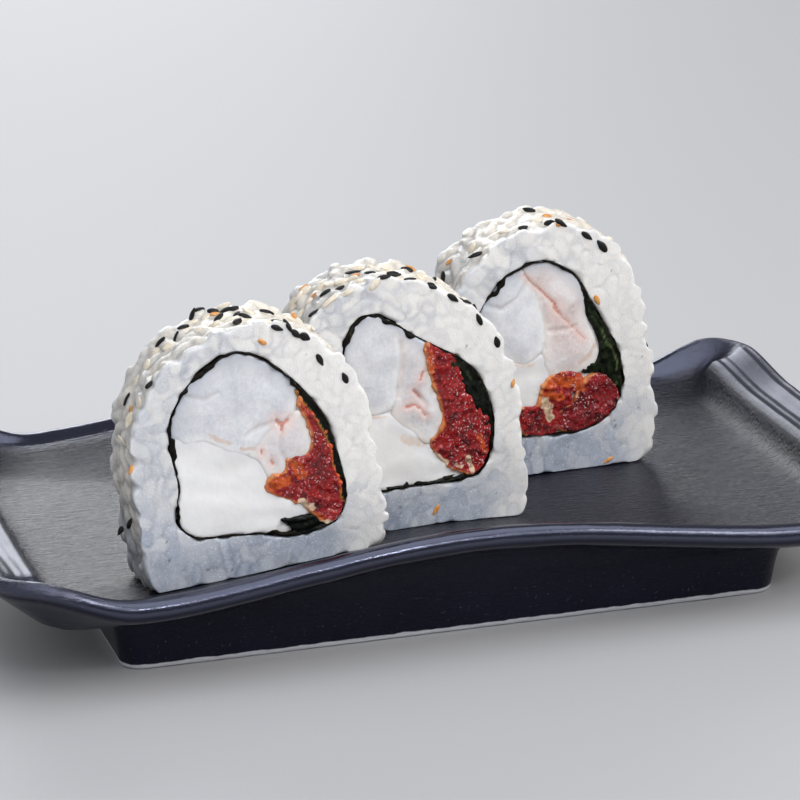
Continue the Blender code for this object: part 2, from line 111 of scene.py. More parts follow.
ROLLS = (
    dict(
        number=1, blush=0.45, green=0, gold=1, place=(-37.5, -36.8), turn=3, base=17.2, height=46,
        rice=((-21.4, 4), (-23.2, 16), (-23.4, 27), (-21.2, 34.6), (-15.6, 40.8), (-8, 44.8), (0.8, 46),
            (8, 43.6), (14, 39.2), (18.5, 32.8), (20.8, 24), (22.2, 14), (23.2, 5), (21.5, 0.6), (8, 0),
            (-8, 0), (-18.8, 0.6)),
        nori=((-16.9, 29.5), (-15.2, 33.5), (-13.2, 36.4), (-9.2, 39.6), (-5.2, 41.3), (-1, 40.1),
            (3.3, 37.4), (7.8, 32.9), (11.8, 27.4), (13.6, 22), (15.2, 15.5), (15.3, 10.5), (12.8, 6.7),
            (6.3, 5.5), (0, 7), (-6.6, 7.7), (-12.3, 8.2), (-15.6, 11.5), (-15.4, 18), (-16.6, 24)),
        fillings=dict(
            shrimp_large=((-14.4, 32.8), (-11.7, 35.9), (-8.3, 38.1), (-6.8, 39.8), (-3.1, 39.7),
                (0.6, 38.1), (4.4, 35.1), (6.4, 31.6), (5, 27.3), (1.6, 26), (0, 23), (-3.3, 22.2),
                (-7.1, 23.6), (-10, 25.4), (-14.4, 25.6), (-15.8, 28.1), (-15.8, 30.7)),
            shrimp_small=((0.5, 26.5), (2.8, 28.2), (6.6, 29), (8.6, 26.3), (9.2, 23.2), (7.8, 20.6),
                (5.4, 19.8), (4.2, 17.6), (1.2, 17.6), (-0.8, 20.9), (-3, 22.6)),
            tomato=((6.6, 33.3), (8.1, 30.1), (10.4, 27.2), (12.3, 24.3), (13, 20.3), (14.1, 16.3),
                (15.3, 12.3), (15.2, 9.2), (13.7, 6.7), (11.4, 7.2), (9, 9.4), (7.2, 11.6), (4.4, 13),
                (0.4, 15.1), (1, 17.6), (3.8, 18.4), (4.6, 20.8), (7.6, 21), (8.8, 23.2), (8.1, 26.7),
                (6.6, 30.3)),
            cream_cheese=((-15.8, 26.2), (-10, 26.2), (-6, 24.2), (-1.4, 23), (0.6, 18.6), (0.8, 15.2),
                (4.8, 13.2), (8.2, 10.8), (7.4, 9.4), (3, 8.6), (0.8, 6.8), (-4, 7.8), (-12, 8.2),
                (-15.8, 10.8), (-15, 18)),
        ),
        leaf=((6.1, 34.9), (7.2, 34.4), (9.9, 31.2), (12.6, 27), (14.2, 22), (15.8, 15), (16.4, 11.8),
            (14.7, 11.2), (13.2, 16.4), (12.1, 21.9), (10.4, 26), (8.2, 29.4), (6.1, 32.5)),
        red_spots=((0.45, ((2.6, 28), (3.5, 27), (4.8, 27.9))), (0.3, ((3.5, 27), (3.6, 26))),
            (0.3, ((-0.2, 22.8), (-0.1, 22.2))), (0.25, ((1.6, 20.8), (1.9, 20)))),
        creases=((0.5, ((-3, 26), (0.4, 27.4), (3, 27.6))), (0.4, ((3.6, 26.6), (3, 22.4), (4.4, 20.4))),
            (0.35, ((-14, 34.4), (-10.4, 33.4), (-8, 34.4)))),
        stains=((0.6, ((-9.4, 26.6), (-7.6, 25.4), (-6, 25))), (0.5, ((-3.8, 23.6), (-1.4, 23.2)))),
        orange_spots=((1.9, ((1.4, 16), (3.4, 16.8))),
            (0.7, ((7.4, 31.6), (9.8, 28.6), (12.2, 23.6), (13.8, 18), (14.8, 13))),
            (1.2, ((6, 19.6), (7.2, 17.4))), (1.2, ((8.6, 9.6), (12, 6.6)))),
        pale_spots=((1.1, ((7, 12.2), (9.2, 10.8))), (0.9, ((10.9, 7.6), (12.6, 7)))),
        nori_folds=((2, ((-13, 36.6), (-10.4, 38.8))), (1.6, ((6.6, 34.2), (8.4, 32.2))),
            (1, ((-16.4, 26), (-16.2, 23.6))), (1.4, ((2, 6.4), (5, 5.6)))),
        leaf_end=((3, 9.5), (6, 9.7), (8.6, 9.6), (11.2, 8.2), (13, 6.7), (9.8, 5.6), (6.3, 5.4), (5, 7.5)),
    ),
    dict(
        number=2, blush=0.3, green=0.3, gold=0, place=(-3.8, -20.7), turn=3, base=15.7, height=48.2,
        rice=((-21.6, 4), (-22.2, 16), (-22.4, 28), (-21.9, 37.6), (-20.2, 42.2), (-16.5, 45.6),
            (-9.5, 48.2), (-2, 47.9), (5, 45.4), (11, 41.2), (16, 35), (19.3, 27), (21, 17), (21.6, 6),
            (20, 0.6), (8, 0), (-8, 0), (-20, 0.6)),
        nori=((-14.6, 30), (-14.3, 36.7), (-12.4, 40.6), (-8.9, 42), (-5, 40.3), (-1, 37.4), (3.3, 34.8),
            (8.3, 31.8), (12, 28), (14.3, 22.5), (15, 17), (14, 11.8), (11, 8.7), (4.5, 8), (-2, 8),
            (-8, 8), (-12.6, 9.2), (-14.7, 14), (-15, 22)),
        fillings=dict(
            shrimp_large=((-13.1, 38.2), (-11.2, 40.2), (-8.2, 40.8), (-4.8, 39.1), (-3, 37.1),
                (-2.6, 33.3), (-3.2, 29.2), (-3.6, 25), (-7.1, 22.9), (-11.2, 23.7), (-13.8, 28.4),
                (-14, 33.7)),
            shrimp_small=((-4, 38.1), (-1.7, 36.9), (1, 35.3), (2.2, 31.6), (3, 28.1), (4.5, 24.1),
                (4.9, 20.6), (3.8, 17.2), (1.4, 16.3), (-1.2, 18.6), (-4.2, 20.9), (-5, 24.3),
                (-4.4, 29.2), (-4, 33.3)),
            tomato=((1, 35.4), (4.1, 34.6), (7, 32.4), (8, 29.7), (10, 24.9), (12.4, 21.5), (14.2, 18.2),
                (14, 13.6), (12.6, 10.3), (10.9, 9.1), (8.5, 9.8), (5.3, 11.4), (3.2, 14.1), (2.2, 16.4),
                (4.1, 18.7), (4.5, 21.3), (3.1, 26.4), (1.6, 30.8)),
            cream_cheese=((-14.4, 23.2), (-10, 23.6), (-5, 22.2), (-1, 18.8), (2.4, 16.6), (5.4, 12.6),
                (10.4, 9), (4.5, 8.2), (-2, 8.2), (-8, 8.2), (-12.4, 9.4), (-14.4, 14), (-14.6, 18)),
        ),
        leaf=((6.2, 33.6), (8.4, 32.4), (10.8, 30), (12.9, 26.9), (14.5, 23), (15.3, 18.6), (14.9, 15.6),
            (13.8, 17.2), (11.6, 21.3), (9.6, 24.4), (8, 28), (6, 31.4)),
        red_spots=((0.35, ((-2.2, 23.7), (-0.6, 24), (0.8, 23), (1.4, 21.8))),
            (0.3, ((1, 30.2), (0.3, 28.4))), (0.3, ((-0.8, 26.6), (0.4, 25.2)))),
        creases=((0.5, ((-3.4, 36), (-3, 31), (-3.8, 26))), (0.4, ((-0.8, 26.6), (1.6, 24), (1.8, 19.6)))),
        stains=((1.2, ((-2.6, 17.6), (-0.4, 16.8), (1, 16.4))), (0.4, ((-9, 22.6), (-5.6, 22.2)))),
        orange_spots=((0.9, ((4.2, 21.4), (4.4, 18.8))), (0.8, ((2.2, 33.6), (2.6, 30))),
            (0.7, ((12, 16.6), (13.2, 13.4)))),
        pale_spots=((1, ((3.4, 13.6), (5.2, 12.2))), (0.9, ((9.6, 12.4), (10.6, 10.2))),
            (0.6, ((7.4, 11.4), (8.2, 11)))),
        nori_folds=((2.2, ((-13.6, 38.6), (-11.6, 41.2), (-8.8, 42), (-6.6, 41.2))),
            (1.6, ((-1, 37.4), (0.2, 36.6))), (1.8, ((-1, 8), (4.5, 8), (9, 8.3)))),
        leaf_end=((-6, 8.9), (0, 8.7), (5, 9.2), (8.6, 9.8), (11.4, 10.2), (11.4, 8.7), (7, 7.8), (2, 7.6),
            (-4, 7.6)),
    ),
    dict(
        number=3, blush=0.8, green=1, gold=0, place=(31.3, 1.6), turn=3, base=15.3, height=49.2,
        rice=((-20.8, 4), (-21, 16), (-20.9, 28), (-20.8, 37), (-18, 42.2), (-12.2, 46.4), (-6, 48.6),
            (0, 49.2), (6.2, 47.8), (12.4, 43.7), (15.9, 37.8), (18.1, 30), (19.6, 22), (20.9, 12),
            (20.9, 5), (18.5, 0.6), (6, 0), (-6, 0), (-19, 0.6)),
        nori=((-17.2, 26), (-15.9, 33.8), (-12.9, 37.5), (-11.2, 40), (-8.7, 41.2), (-5.8, 42.1),
            (-2.6, 42.3), (1.3, 40.6), (4.6, 37.5), (6.9, 33.3), (10.4, 27.5), (12.8, 22.7), (13.9, 17.1),
            (13, 12.8), (10.5, 9.6), (6, 7.6), (0, 7.3), (-7, 7.8), (-13, 8.5), (-16.2, 11.5), (-17.2, 18)),
        fillings=dict(
            shrimp_large=((-16, 33.3), (-12.6, 36.6), (-11.9, 39.2), (-9.1, 40.4), (-6.7, 39.6),
                (-4.4, 36.8), (-3, 33), (-2.2, 29.2), (-2.8, 25), (-6.5, 22), (-10, 23), (-13.8, 26.7),
                (-16.6, 29.6)),
            shrimp_small=((-6.8, 40.7), (-5.2, 41.8), (-1.4, 41.9), (2.2, 39.9), (4.6, 37.4), (5.4, 34.3),
                (5.8, 30.5), (7.6, 25.8), (8.4, 23), (7.2, 20.5), (4.1, 19.4), (0.6, 18.7), (-2, 18.6),
                (-3, 23.1), (-2.9, 27.6), (-4, 33), (-5.6, 37.3)),
            tomato_round=((4.2, 16.2), (6.1, 18.5), (9.3, 18.7), (11.9, 16.5), (13.2, 13.7), (12.4, 10.9),
                (9.5, 8.1), (5.5, 7.1), (0.7, 8), (-0.3, 9.9), (0.7, 12.5), (3.4, 14)),
            tomato=((-2.9, 18.3), (-1, 19.7), (2.1, 20.1), (5.1, 18.9), (5.3, 16.8), (3.2, 15),
                (3.2, 12.6), (0.9, 11.3), (0.2, 8.1), (-3.2, 7.6), (-6.7, 7.9), (-8.3, 10.8), (-7.8, 13.8),
                (-4.1, 13.8), (-3.9, 15.7)),
            cream_cheese=((-16.8, 29.8), (-13.6, 26.9), (-10, 23.4), (-6.5, 22.4), (-3, 23.6),
                (-1.8, 18.8), (-3.4, 15.6), (-4, 13.4), (-7.8, 13.6), (-8.4, 10.6), (-6.6, 7.8),
                (-13, 8.5), (-16.2, 11.5), (-17, 18)),
        ),
        leaf=((5.3, 35.6), (7.8, 32.4), (10.8, 27.9), (12.6, 23.9), (14, 17.8), (13.5, 14.9), (11.7, 16.1),
            (9.3, 18.7), (5.1, 19.2), (5.9, 20.8), (8.2, 21.3), (8.7, 24.1), (7.3, 28), (5.5, 31.3)),
        red_spots=((0.26, ((-7.1, 39.9), (-4.1, 37), (-0.6, 33.6), (0.5, 31.2))),
            (0.5, ((-0.8, 33.4), (-0.2, 32))), (0.22, ((0.5, 31.2), (3.4, 28.3), (5.6, 26)))),
        creases=((0.5, ((-14.6, 34.6), (-11.6, 33.8), (-8.2, 35.6), (-6.4, 38.6))),
            (0.5, ((-3.4, 34.6), (-2.4, 30), (-2.8, 25))), (0.5, ((-2.2, 28.4), (1.4, 28.2), (3.8, 28.8)))),
        stains=((0.45, ((-9, 22.4), (-5, 22))), (0.6, ((4.6, 21.4), (6.6, 22.8), (8.2, 25.6)))),
        orange_spots=((1.8, ((-2.6, 18.4), (0.7, 18.4), (4.4, 17.4))), (1.1, ((-2.4, 15.6), (0.4, 15.2)))),
        pale_spots=((1.3, ((-2.4, 14.4), (-1.4, 11))),),
        nori_folds=((1.6, ((-12.8, 37.8), (-11.6, 39.6))), (1.5, ((5, 36.8), (6.2, 34.8)))),
        leaf_end=(),
    ),
)

# Seeds seen in the photograph: (across, down) in pixels and the seed's lean in the picture in degrees
BLACK_SEEDS = (
    (160, 342, 12), (176, 337, 20), (183, 327, 50), (192, 315, 30), (198, 310, 35), (204, 309, 25),
    (213, 311, 10), (225, 311, 15), (232, 309, 10), (236, 315, 85), (238, 321, 70), (245, 316, -20),
    (122, 375, 85), (127, 399, 75), (150, 384, 75), (114, 485, 80), (111, 500, 85), (130, 523, 30),
    (121, 530, 60), (119, 540, 75), (277, 328, -25), (296, 334, -40), (305, 337, -30), (320, 360, -60),
    (345, 378, -60), (465, 301, -20), (288, 326, -30),
    (188, 318, 35), (218, 318, 75), (353, 272, 10), (370, 273, -20), (394, 274, 15), (384, 277, 30),
    (325, 293, 35), (339, 289, 30), (314, 313, 70), (410, 279, -15), (432, 286, -20), (453, 298, -35),
    (479, 319, -60), (497, 342, -70), (524, 430, 80), (525, 228, 15), (550, 223, -10), (561, 223, -25),
    (528, 210, -20), (587, 236, -35), (602, 246, -45), (475, 255, 20), (443, 279, 60), (434, 279, 70),
)
WHITE_SEEDS = (
    (191, 323, 30), (205, 318, 60), (214, 324, 20), (231, 320, 50), (198, 330, 10), (185, 331, 40),
    (243, 320, -20), (170, 346, 30), (156, 353, 60), (146, 366, 70), (136, 381, 80), (129, 420, 70),
    (122, 441, 85), (139, 404, 60), (250, 312, -10), (222, 306, 10), (178, 323, 40),
    (310, 300, 30), (298, 297, 50), (305, 291, 20), (319, 288, 40), (330, 284, 20), (342, 281, 10),
    (350, 279, -10), (360, 281, 30), (293, 305, 60), (300, 314, 70), (333, 298, 40), (346, 293, 10),
    (290, 292, 50), (357, 268, 5), (375, 268, 10), (388, 270, -15), (401, 280, 30), (375, 284, 50),
    (328, 302, 60), (421, 277, -20), (536, 220, 10), (471, 249, 40), (505, 231, 30),
)
ORANGE_FLECKS = (
    (216, 314, 30), (131, 410, 80), (131, 470, 75), (108, 439, 80), (262, 342, -30), (410, 268, 0),
    (356, 275, 10), (304, 287, 40), (294, 316, 70), (313, 297, 20), (346, 342, 80), (513, 383, 80),
    (436, 510, 60), (608, 460, 30), (597, 300, -60), (560, 224, 10), (547, 216, 15), (449, 262, 40),
)


# General helpers
def smooth(value):
    t = np.clip(value, 0.0, 1.0)
    return t * t * (3.0 - 2.0 * t)


def value_noise(points, cell, seed):
    """Smooth random field between -1 and 1, one value a point, with features about one cell wide."""
    scaled = np.asarray(points, float) / cell
    low = np.floor(scaled).astype(np.int64)
    part = scaled - low
    part = part * part * (3.0 - 2.0 * part)
    total = np.zeros(len(scaled))
    for corner in range(8):
        step = np.array([(corner >> k) & 1 for k in range(3)])
        grid = low + step
        hashed = grid[:, 0] * 73856093 ^ grid[:, 1] * 19349663 ^ grid[:, 2] * 83492791 ^ seed * 2654435761
        hashed = (hashed ^ (hashed >> 13)) * 1274126177
        chance = ((hashed ^ (hashed >> 16)) & 0xFFFFF) / float(0xFFFFF)
        weight = np.prod(np.where(step == 1, part, 1.0 - part), axis=1)
        total += weight * chance
    return total * 2.0 - 1.0


def mesh_from(name, points, faces):
    """Mesh whose closed parts all face outwards."""
    mesh = bpy.data.meshes.new(name)
    mesh.from_pydata([tuple(p) for p in np.asarray(points, float)], [], faces)
    work = bmesh.new()
    work.from_mesh(mesh)
    bmesh.ops.recalc_face_normals(work, faces=work.faces)
    work.to_mesh(mesh)
    work.free()
    return mesh


def coordinates(mesh, kind="co"):
    """The mesh's points, or their normals with kind "normal"."""
    flat = np.zeros(len(mesh.vertices) * 3, np.float32)
    mesh.vertices.foreach_get(kind, flat)
    return flat.reshape(-1, 3).astype(float)


def set_coordinates(mesh, points):
    mesh.vertices.foreach_set("co", np.asarray(points, np.float32).ravel())
    mesh.update()


def linked(name, data):
    """A new object in the scene."""
    item = bpy.data.objects.new(name, data)
    bpy.context.scene.collection.objects.link(item)
    return item


def modified(name, mesh, settings):
    """The mesh after a list of modifiers, each (kind, values)."""
    item = linked(name, mesh)
    for kind, values in settings:
        step = item.modifiers.new(kind.lower(), kind)
        for key, value in values.items():
            setattr(step, key, value)
    bpy.context.view_layer.update()
    result = bpy.data.meshes.new_from_object(item.evaluated_get(bpy.context.evaluated_depsgraph_get()))
    bpy.data.objects.remove(item, do_unlink=True)
    return result


def remeshed(name, points, faces, voxel, passes):
    """One closed skin round everything, with its steps smoothed."""
    settings = (
        ("REMESH", dict(mode="VOXEL", voxel_size=voxel)),
        ("SMOOTH", dict(factor=0.5, iterations=passes)),
    )
    return modified(name, mesh_from(name, points, faces), settings)


def show(name, mesh, skin, nodes):
    """Adds the piece to the scene, riding on the body and standing for its CAD nodes."""
    mesh.transform([[MM, 0, 0, 0], [0, MM, 0, 0], [0, 0, MM, 0], [0, 0, 0, 1]])
    mesh.materials.clear()
    mesh.materials.append(skin)
    mesh.shade_smooth()
    item = linked(name, mesh)
    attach(item, "root")
    if nodes:
        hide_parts(*nodes)
    return item


def store(mesh, **fields):
    """Keeps one value a point under each name, for the materials."""
    for name, values in fields.items():
        layer = mesh.attributes.new(name, "FLOAT", "POINT")
        layer.data.foreach_set("value", np.asarray(values, np.float32))


def band_faces(rows, count, closed):
    """Faces between rings of points that follow each other."""
    faces = []
    for i in range(rows if closed else rows - 1):
        j = (i + 1) % rows
        for k in range(count):
            n = (k + 1) % count
            faces.append((i * count + k, i * count + n, j * count + n, j * count + k))
    return faces


def joined(parts):
    """Several (points, faces) as one."""
    points = []
    faces = []
    start = 0
    for some_points, some_faces in parts:
        points.append(np.asarray(some_points, float))
        faces += [tuple(int(k) + start for k in face) for face in some_faces]
        start += len(some_points)
    return np.concatenate(points), faces


# Outlines
def closed_curve(control, steps):
    """Catmull-Rom curve through the control points."""
    control = np.asarray(control, float)
    count = len(control)
    result = []
    for i in range(count):
        a, b, c, d = (control[(i + k - 1) % count] for k in range(4))
        for t in np.arange(steps) / steps:
            value = 2 * b + (c - a) * t + (2 * a - 5 * b + 4 * c - d) * t * t
            value = value + (3 * b - a - 3 * c + d) * t ** 3
            result.append(value / 2)
    return np.array(result)


def even_spacing(points, count):
    """The closed outline with its points at equal distances."""
    closed = np.concatenate([points, points[:1]])
    travel = np.concatenate([[0.0], np.cumsum(np.linalg.norm(np.diff(closed, axis=0), axis=1))])
    wanted = np.arange(count) / count * travel[-1]
    return np.stack([np.interp(wanted, travel, closed[:, k]) for k in range(2)], axis=1), travel[-1]


def outward(points):
    """Unit normals that point out of the outline."""
    before = np.roll(points, 1, axis=0)
    after = np.roll(points, -1, axis=0)
    along = after - before
    area = np.sum(points[:, 0] * after[:, 1] - after[:, 0] * points[:, 1])
    normal = np.stack([along[:, 1], -along[:, 0]], axis=1) * np.sign(area)
    return normal / np.maximum(np.linalg.norm(normal, axis=1), 1e-9)[:, None]


def inside(points, loop):
    """Which points lie within the closed outline."""
    x, z = points[:, 0], points[:, 1]
    result = np.zeros(len(points), bool)
    for a, b in zip(loop, np.roll(loop, -1, axis=0)):
        crosses = (a[1] > z) != (b[1] > z)
        rise = b[1] - a[1] if abs(b[1] - a[1]) > 1e-9 else 1e-9
        result ^= crosses & (x < (b[0] - a[0]) * (z - a[1]) / rise + a[0])
    return result


def distance_to(points, line, closed=True):
    """Distance of each point from the line, which is an outline if closed."""
    best = np.full(len(points), 1e9)
    for a, b in zip(line, np.roll(line, -1, axis=0) if closed else line[1:]):
        along = b - a
        t = np.clip(((points - a) @ along) / max(along @ along, 1e-12), 0.0, 1.0)
        best = np.minimum(best, np.linalg.norm(points - a - t[:, None] * along, axis=1))
    return best


class Polar:
    """Radius of a star-shaped outline by direction from the section's centre."""

    def __init__(self, loop):
        self.centre = np.array(SECTION_CENTRE)
        away = loop - self.centre
        angle = np.arctan2(away[:, 1], away[:, 0])
        order = np.argsort(angle)
        angle = angle[order]
        radius = np.linalg.norm(away, axis=1)[order]
        self.angle = np.concatenate([angle - 2 * math.pi, angle, angle + 2 * math.pi])
        self.radius = np.tile(radius, 3)

    def parts(self, points):
        away = points - self.centre
        length = np.maximum(np.linalg.norm(away, axis=1), 1e-6)
        return away / length[:, None], length, np.interp(
            np.arctan2(away[:, 1], away[:, 0]), self.angle, self.radius)

    def kept_in(self, points, margin):
        direction, length, limit = self.parts(points)
        return self.centre + direction * np.minimum(length, limit - margin)[:, None]

    def soft_limit(self, points, over):
        """Lets points pass the outline by no more than a little."""
        direction, length, limit = self.parts(points)
        excess = np.maximum(length - limit, 0.0)
        return self.centre + direction * (np.minimum(length, limit) + over * np.tanh(excess / over))[:, None]

    def kept_out(self, points, margin):
        direction, length, limit = self.parts(points)
        return self.centre + direction * np.maximum(length, limit + margin)[:, None]


# Plate surface
def rim_top(x):
    reach = np.minimum(np.abs(x), RIM_DIP_AT) / RIM_DIP_AT
    arch = ((np.cos(math.pi * reach) + 1.0) / 2.0) ** 0.85
    corner = smooth((np.abs(x) - RIM_DIP_AT) / 20.0)
    low = RIM_TOP_DIP + (RIM_TOP_MIDDLE - RIM_TOP_DIP) * arch
    return low + (RIM_TOP_CORNER - RIM_TOP_DIP) * corner


def floor_top(x, y):
    """Height of the plate's upper face between the end walls."""
    crease = np.interp(np.abs(x), CREASE_X, CREASE_Y)
    rise = np.clip((np.abs(y) - crease) / (RIM_HALF_DEPTH - 2.7 - crease), 0.0, 1.0)
    return FLOOR_Z + (rim_top(x) + 0.3 - FLOOR_Z) * rise ** 2.6


def to_world(roll, points):
    """Roll points in the row frame, with the lower part following the plate under it."""
    angle = math.radians(roll["turn"])
    c, s = math.cos(angle), math.sin(angle)
    x = roll["place"][0] + c * points[:, 0] - s * points[:, 1]
    y = roll["place"][1] + s * points[:, 0] + c * points[:, 1]
    drop = floor_top(x, y) + REST_GAP - roll["base"]
    z = roll["base"] + points[:, 2] + drop * (1.0 - smooth(points[:, 2] / 14.0))
    return np.stack([x, y, z], axis=1)


def plate_outline(half_x, half_y, corner, side=72, end=36, arc=8):
    """Rounded rectangle with the same point order for every size, and how far each point is at an end."""
    cx = half_x - corner
    cy = half_y - corner
    points = []
    weight = []
    for quarter, (sx, sy) in enumerate(((1, 1), (-1, 1), (-1, -1), (1, -1))):
        for k in range(arc):
            part = (k + 0.5) / arc
            angle = (quarter + part) * math.pi / 2
            points.append((sx * cx + corner * math.cos(angle), sy * cy + corner * math.sin(angle)))
            weight.append(1.0 - part if quarter % 2 == 0 else part)
        steps = side if quarter % 2 == 0 else end
        for k in range(steps):
            t = (k + 0.5) / steps * 2.0 - 1.0
            straight = ((-cx * t, half_y), (-half_x, -cy * t), (cx * t, -half_y), (half_x, cy * t))
            points.append(straight[quarter])
            weight.append(0.0 if quarter % 2 == 0 else 1.0)
    return np.array(points), np.array(weight)


# Rings of the plate: half length, half depth, offset of the long side from the rim line or None for
# the floor's own height, offset of the end from the end rim, share of the corner's rise
UPPER_RINGS = (
    (88.0, 48.0, -1.9, -1.7, 1.0), (87.6, 47.5, -0.6, -0.5, 1.0), (86.9, 46.6, 0.1, 0.1, 1.0),
    (85.8, 45.3, 0.3, -0.3, 1.0), (84.4, 44.2, None, -0.1, 1.0), (82.8, 43.0, None, -1.2, 0.9),
    (80.2, 41.6, None, -1.6, 0.8), (78.6, 40.4, None, -1.2, 0.6), (77.5, 39.2, None, -2.0, 0.4),
    (76.3, 38.0, None, -5.6, 0.1), (74.6, 36.4, None, -7.0, 0.0), (71.0, 33.0, None, -7.2, 0.0),
    (66.0, 29.8, None, -7.2, 0.0), (60.0, 26.5, None, -7.2, 0.0), (53.0, 22.8, None, -7.2, 0.0),
    (46.0, 19.0, None, -7.2, 0.0), (38.0, 15.0, None, -7.2, 0.0), (30.0, 11.0, None, -7.2, 0.0),
    (16.0, 5.0, None, -7.2, 0.0),
)
LOWER_RINGS = (
    (87.5, 47.4, -3.4, -3.2, 1.0), (85.6, 45.4, -4.5, -4.5, 1.0), (80.5, 41.0, None, -7.6, 0.6),
    (73.0, 37.8, None, -11.4, 0.1),
)


def plate_ring(half_x, half_y, long_offset, end_offset, share, under):
    least = 3.0 if under else 2.5
    flat, weight = plate_outline(half_x, half_y, max(half_y - 37.0, least))
    x, y = flat[:, 0], flat[:, 1]
    long_z = floor_top(x, y) - under if long_offset is None else rim_top(x) + long_offset
    corner_rise = (RIM_TOP_CORNER - END_RIM_TOP) * smooth((np.abs(y) - 18.0) / 20.0)
    end_z = END_RIM_TOP + end_offset + corner_rise * share
    blend = smooth(weight)
    return np.stack([x, y, (1.0 - blend) * long_z + blend * end_z], axis=1)


def foot_rings():
    inner_x = FOOT_HALF_LENGTH - FOOT_RING_WIDTH
    inner_y = FOOT_HALF_DEPTH - FOOT_RING_WIDTH
    sizes = (
        (FOOT_HALF_LENGTH + 2.4, FOOT_HALF_DEPTH + 2.0, 4.5, FOOT_HEIGHT),
        (FOOT_HALF_LENGTH + 0.9, FOOT_HALF_DEPTH + 0.7, 4.2, FOOT_HEIGHT - 2.0),
        (FOOT_HALF_LENGTH + 0.2, FOOT_HALF_DEPTH + 0.2, 4.0, 2.4),
        (FOOT_HALF_LENGTH, FOOT_HALF_DEPTH, 4.0, 1.0),
        (FOOT_HALF_LENGTH - 0.2, FOOT_HALF_DEPTH - 0.2, 3.8, 0.3),
        (FOOT_HALF_LENGTH - 0.7, FOOT_HALF_DEPTH - 0.7, 3.6, 0.0),
        (inner_x + 0.4, inner_y + 0.4, 3.2, 0.0),
        (inner_x, inner_y, 3.0, 0.4),
        (inner_x - 0.6, inner_y - 0.6, 2.8, FOOT_RECESS - 0.8),
        (inner_x - 1.6, inner_y - 1.6, 2.6, FOOT_RECESS),
    )
    rings = []
    for half_x, half_y, corner, z in sizes:
        flat, _ = plate_outline(half_x, half_y, corner)
        rings.append(np.column_stack([flat, np.full(len(flat), z)]))
    return rings


def build_plate(skin):
    rings = [plate_ring(*row, 0.0) for row in reversed(UPPER_RINGS)]
    rings += [plate_ring(*row, PLATE_THICKNESS) for row in LOWER_RINGS]
    rings += foot_rings()
    count = len(rings[0])
    points = np.concatenate(rings + [np.array([[0.0, 0.0, FLOOR_Z], [0.0, 0.0, FOOT_RECESS]])])
    faces = band_faces(len(rings), count, False)
    last = (len(rings) - 1) * count
    for k in range(count):
        n = (k + 1) % count
        faces.append((n, k, len(points) - 2))
        faces.append((last + k, last + n, len(points) - 1))
    mesh = modified("plate_mesh", mesh_from("plate_mesh", points, faces), [("SUBSURF", dict(levels=1))])
    fine = coordinates(mesh)
    wave = value_noise(fine, 9.0, 5) * 0.12 + value_noise(fine, 3.2, 6) * 0.05
    fine[:, 2] += wave * smooth((fine[:, 2] - 2.0) / 4.0)
    set_coordinates(mesh, fine)
    facing = coordinates(mesh, "normal")[:, 2]
    upper = smooth((facing + 0.35) / 0.3) * smooth((fine[:, 2] - FOOT_HEIGHT - 2.0) / 2.0)
    x, y = np.abs(fine[:, 0]), np.abs(fine[:, 1])
    rim = np.maximum(smooth((y - 40.0) / 3.0), smooth((x - 75.5) / 4.0))
    store(
        mesh, upper=upper, rim=np.maximum(rim, 1.0 - upper),
        end=upper * smooth((x - 76.0) / 2.0) * (1.0 - smooth((y - 36.0) / 5.0)),
        pitted=upper * smooth((x - 70.0) / 8.0) * smooth((y - 36.0) / 6.0),
        border=smooth((y - np.interp(x, CREASE_X, CREASE_Y) + 3.0) / 6.0) * (1.0 - rim))
    return show("plate_glazed", mesh, skin, ["plate"])


# Rice
def ball(segments, rings, power=0.8):
    """Blunt unit ball along x, as points and faces."""
    points = [(-1.0, 0.0, 0.0)]
    for i in range(1, rings):
        a = math.pi * i / rings
        radius = math.sin(a) ** power
        for k in range(segments):
            b = 2 * math.pi * k / segments
            points.append((-math.cos(a), radius * math.cos(b), radius * math.sin(b)))
    points.append((1.0, 0.0, 0.0))
    faces = []
    for k in range(segments):
        n = (k + 1) % segments
        faces.append((0, 1 + n, 1 + k))
        for i in range(rings - 2):
            a, b = 1 + i * segments, 1 + (i + 1) * segments
            faces.append((a + k, a + n, b + n, b + k))
        faces.append((1 + (rings - 2) * segments + k, 1 + (rings - 2) * segments + n, len(points) - 1))
    return np.array(points), faces


def scatter(template, centres, frames, sizes):
    """Copies of a template as one point list. Frames hold the along, across and up directions."""
    points, faces = template
    placed = np.einsum("ni,nj,nji->nji", sizes, np.ones((len(sizes), len(points))), points[None])
    placed = np.einsum("nji,nik->njk", placed, frames) + centres[:, None, :]
    return placed.reshape(-1, 3), [
        tuple(k + i * len(points) for k in face) for i in range(len(centres)) for face in faces]


def darts(sample, least, tries, rng):
    """Random spots no closer to each other than a distance."""
    kept = []
    for spot in sample(tries, rng):
        if all((spot[0] - other[0]) ** 2 + (spot[1] - other[1]) ** 2 > least * least for other in kept):
            kept.append(spot)
    return np.array(kept)


def frames_from(up, turn):
    """Rows along, across and up for each spot, turned about up."""
    side = np.tile(np.array([0.0, 1.0, 0.0]), (len(up), 1))
    flat = np.abs(up[:, 1]) > 0.9
    side[flat] = (1.0, 0.0, 0.0)
    across = np.cross(up, side)
    across /= np.linalg.norm(across, axis=1)[:, None]
    side = np.cross(across, up)
    c, s = np.cos(turn)[:, None], np.sin(turn)[:, None]
    along = c * side + s * across
    return np.stack([along, np.cross(up, along), up], axis=1)


def grain_sizes(count, rng):
    """Half lengths, widths and heights."""
    share = rng.uniform(0.82, 1.12, (count, 3))
    return np.array([GRAIN_LENGTH, GRAIN_WIDTH, GRAIN_HEIGHT]) / 2 * share


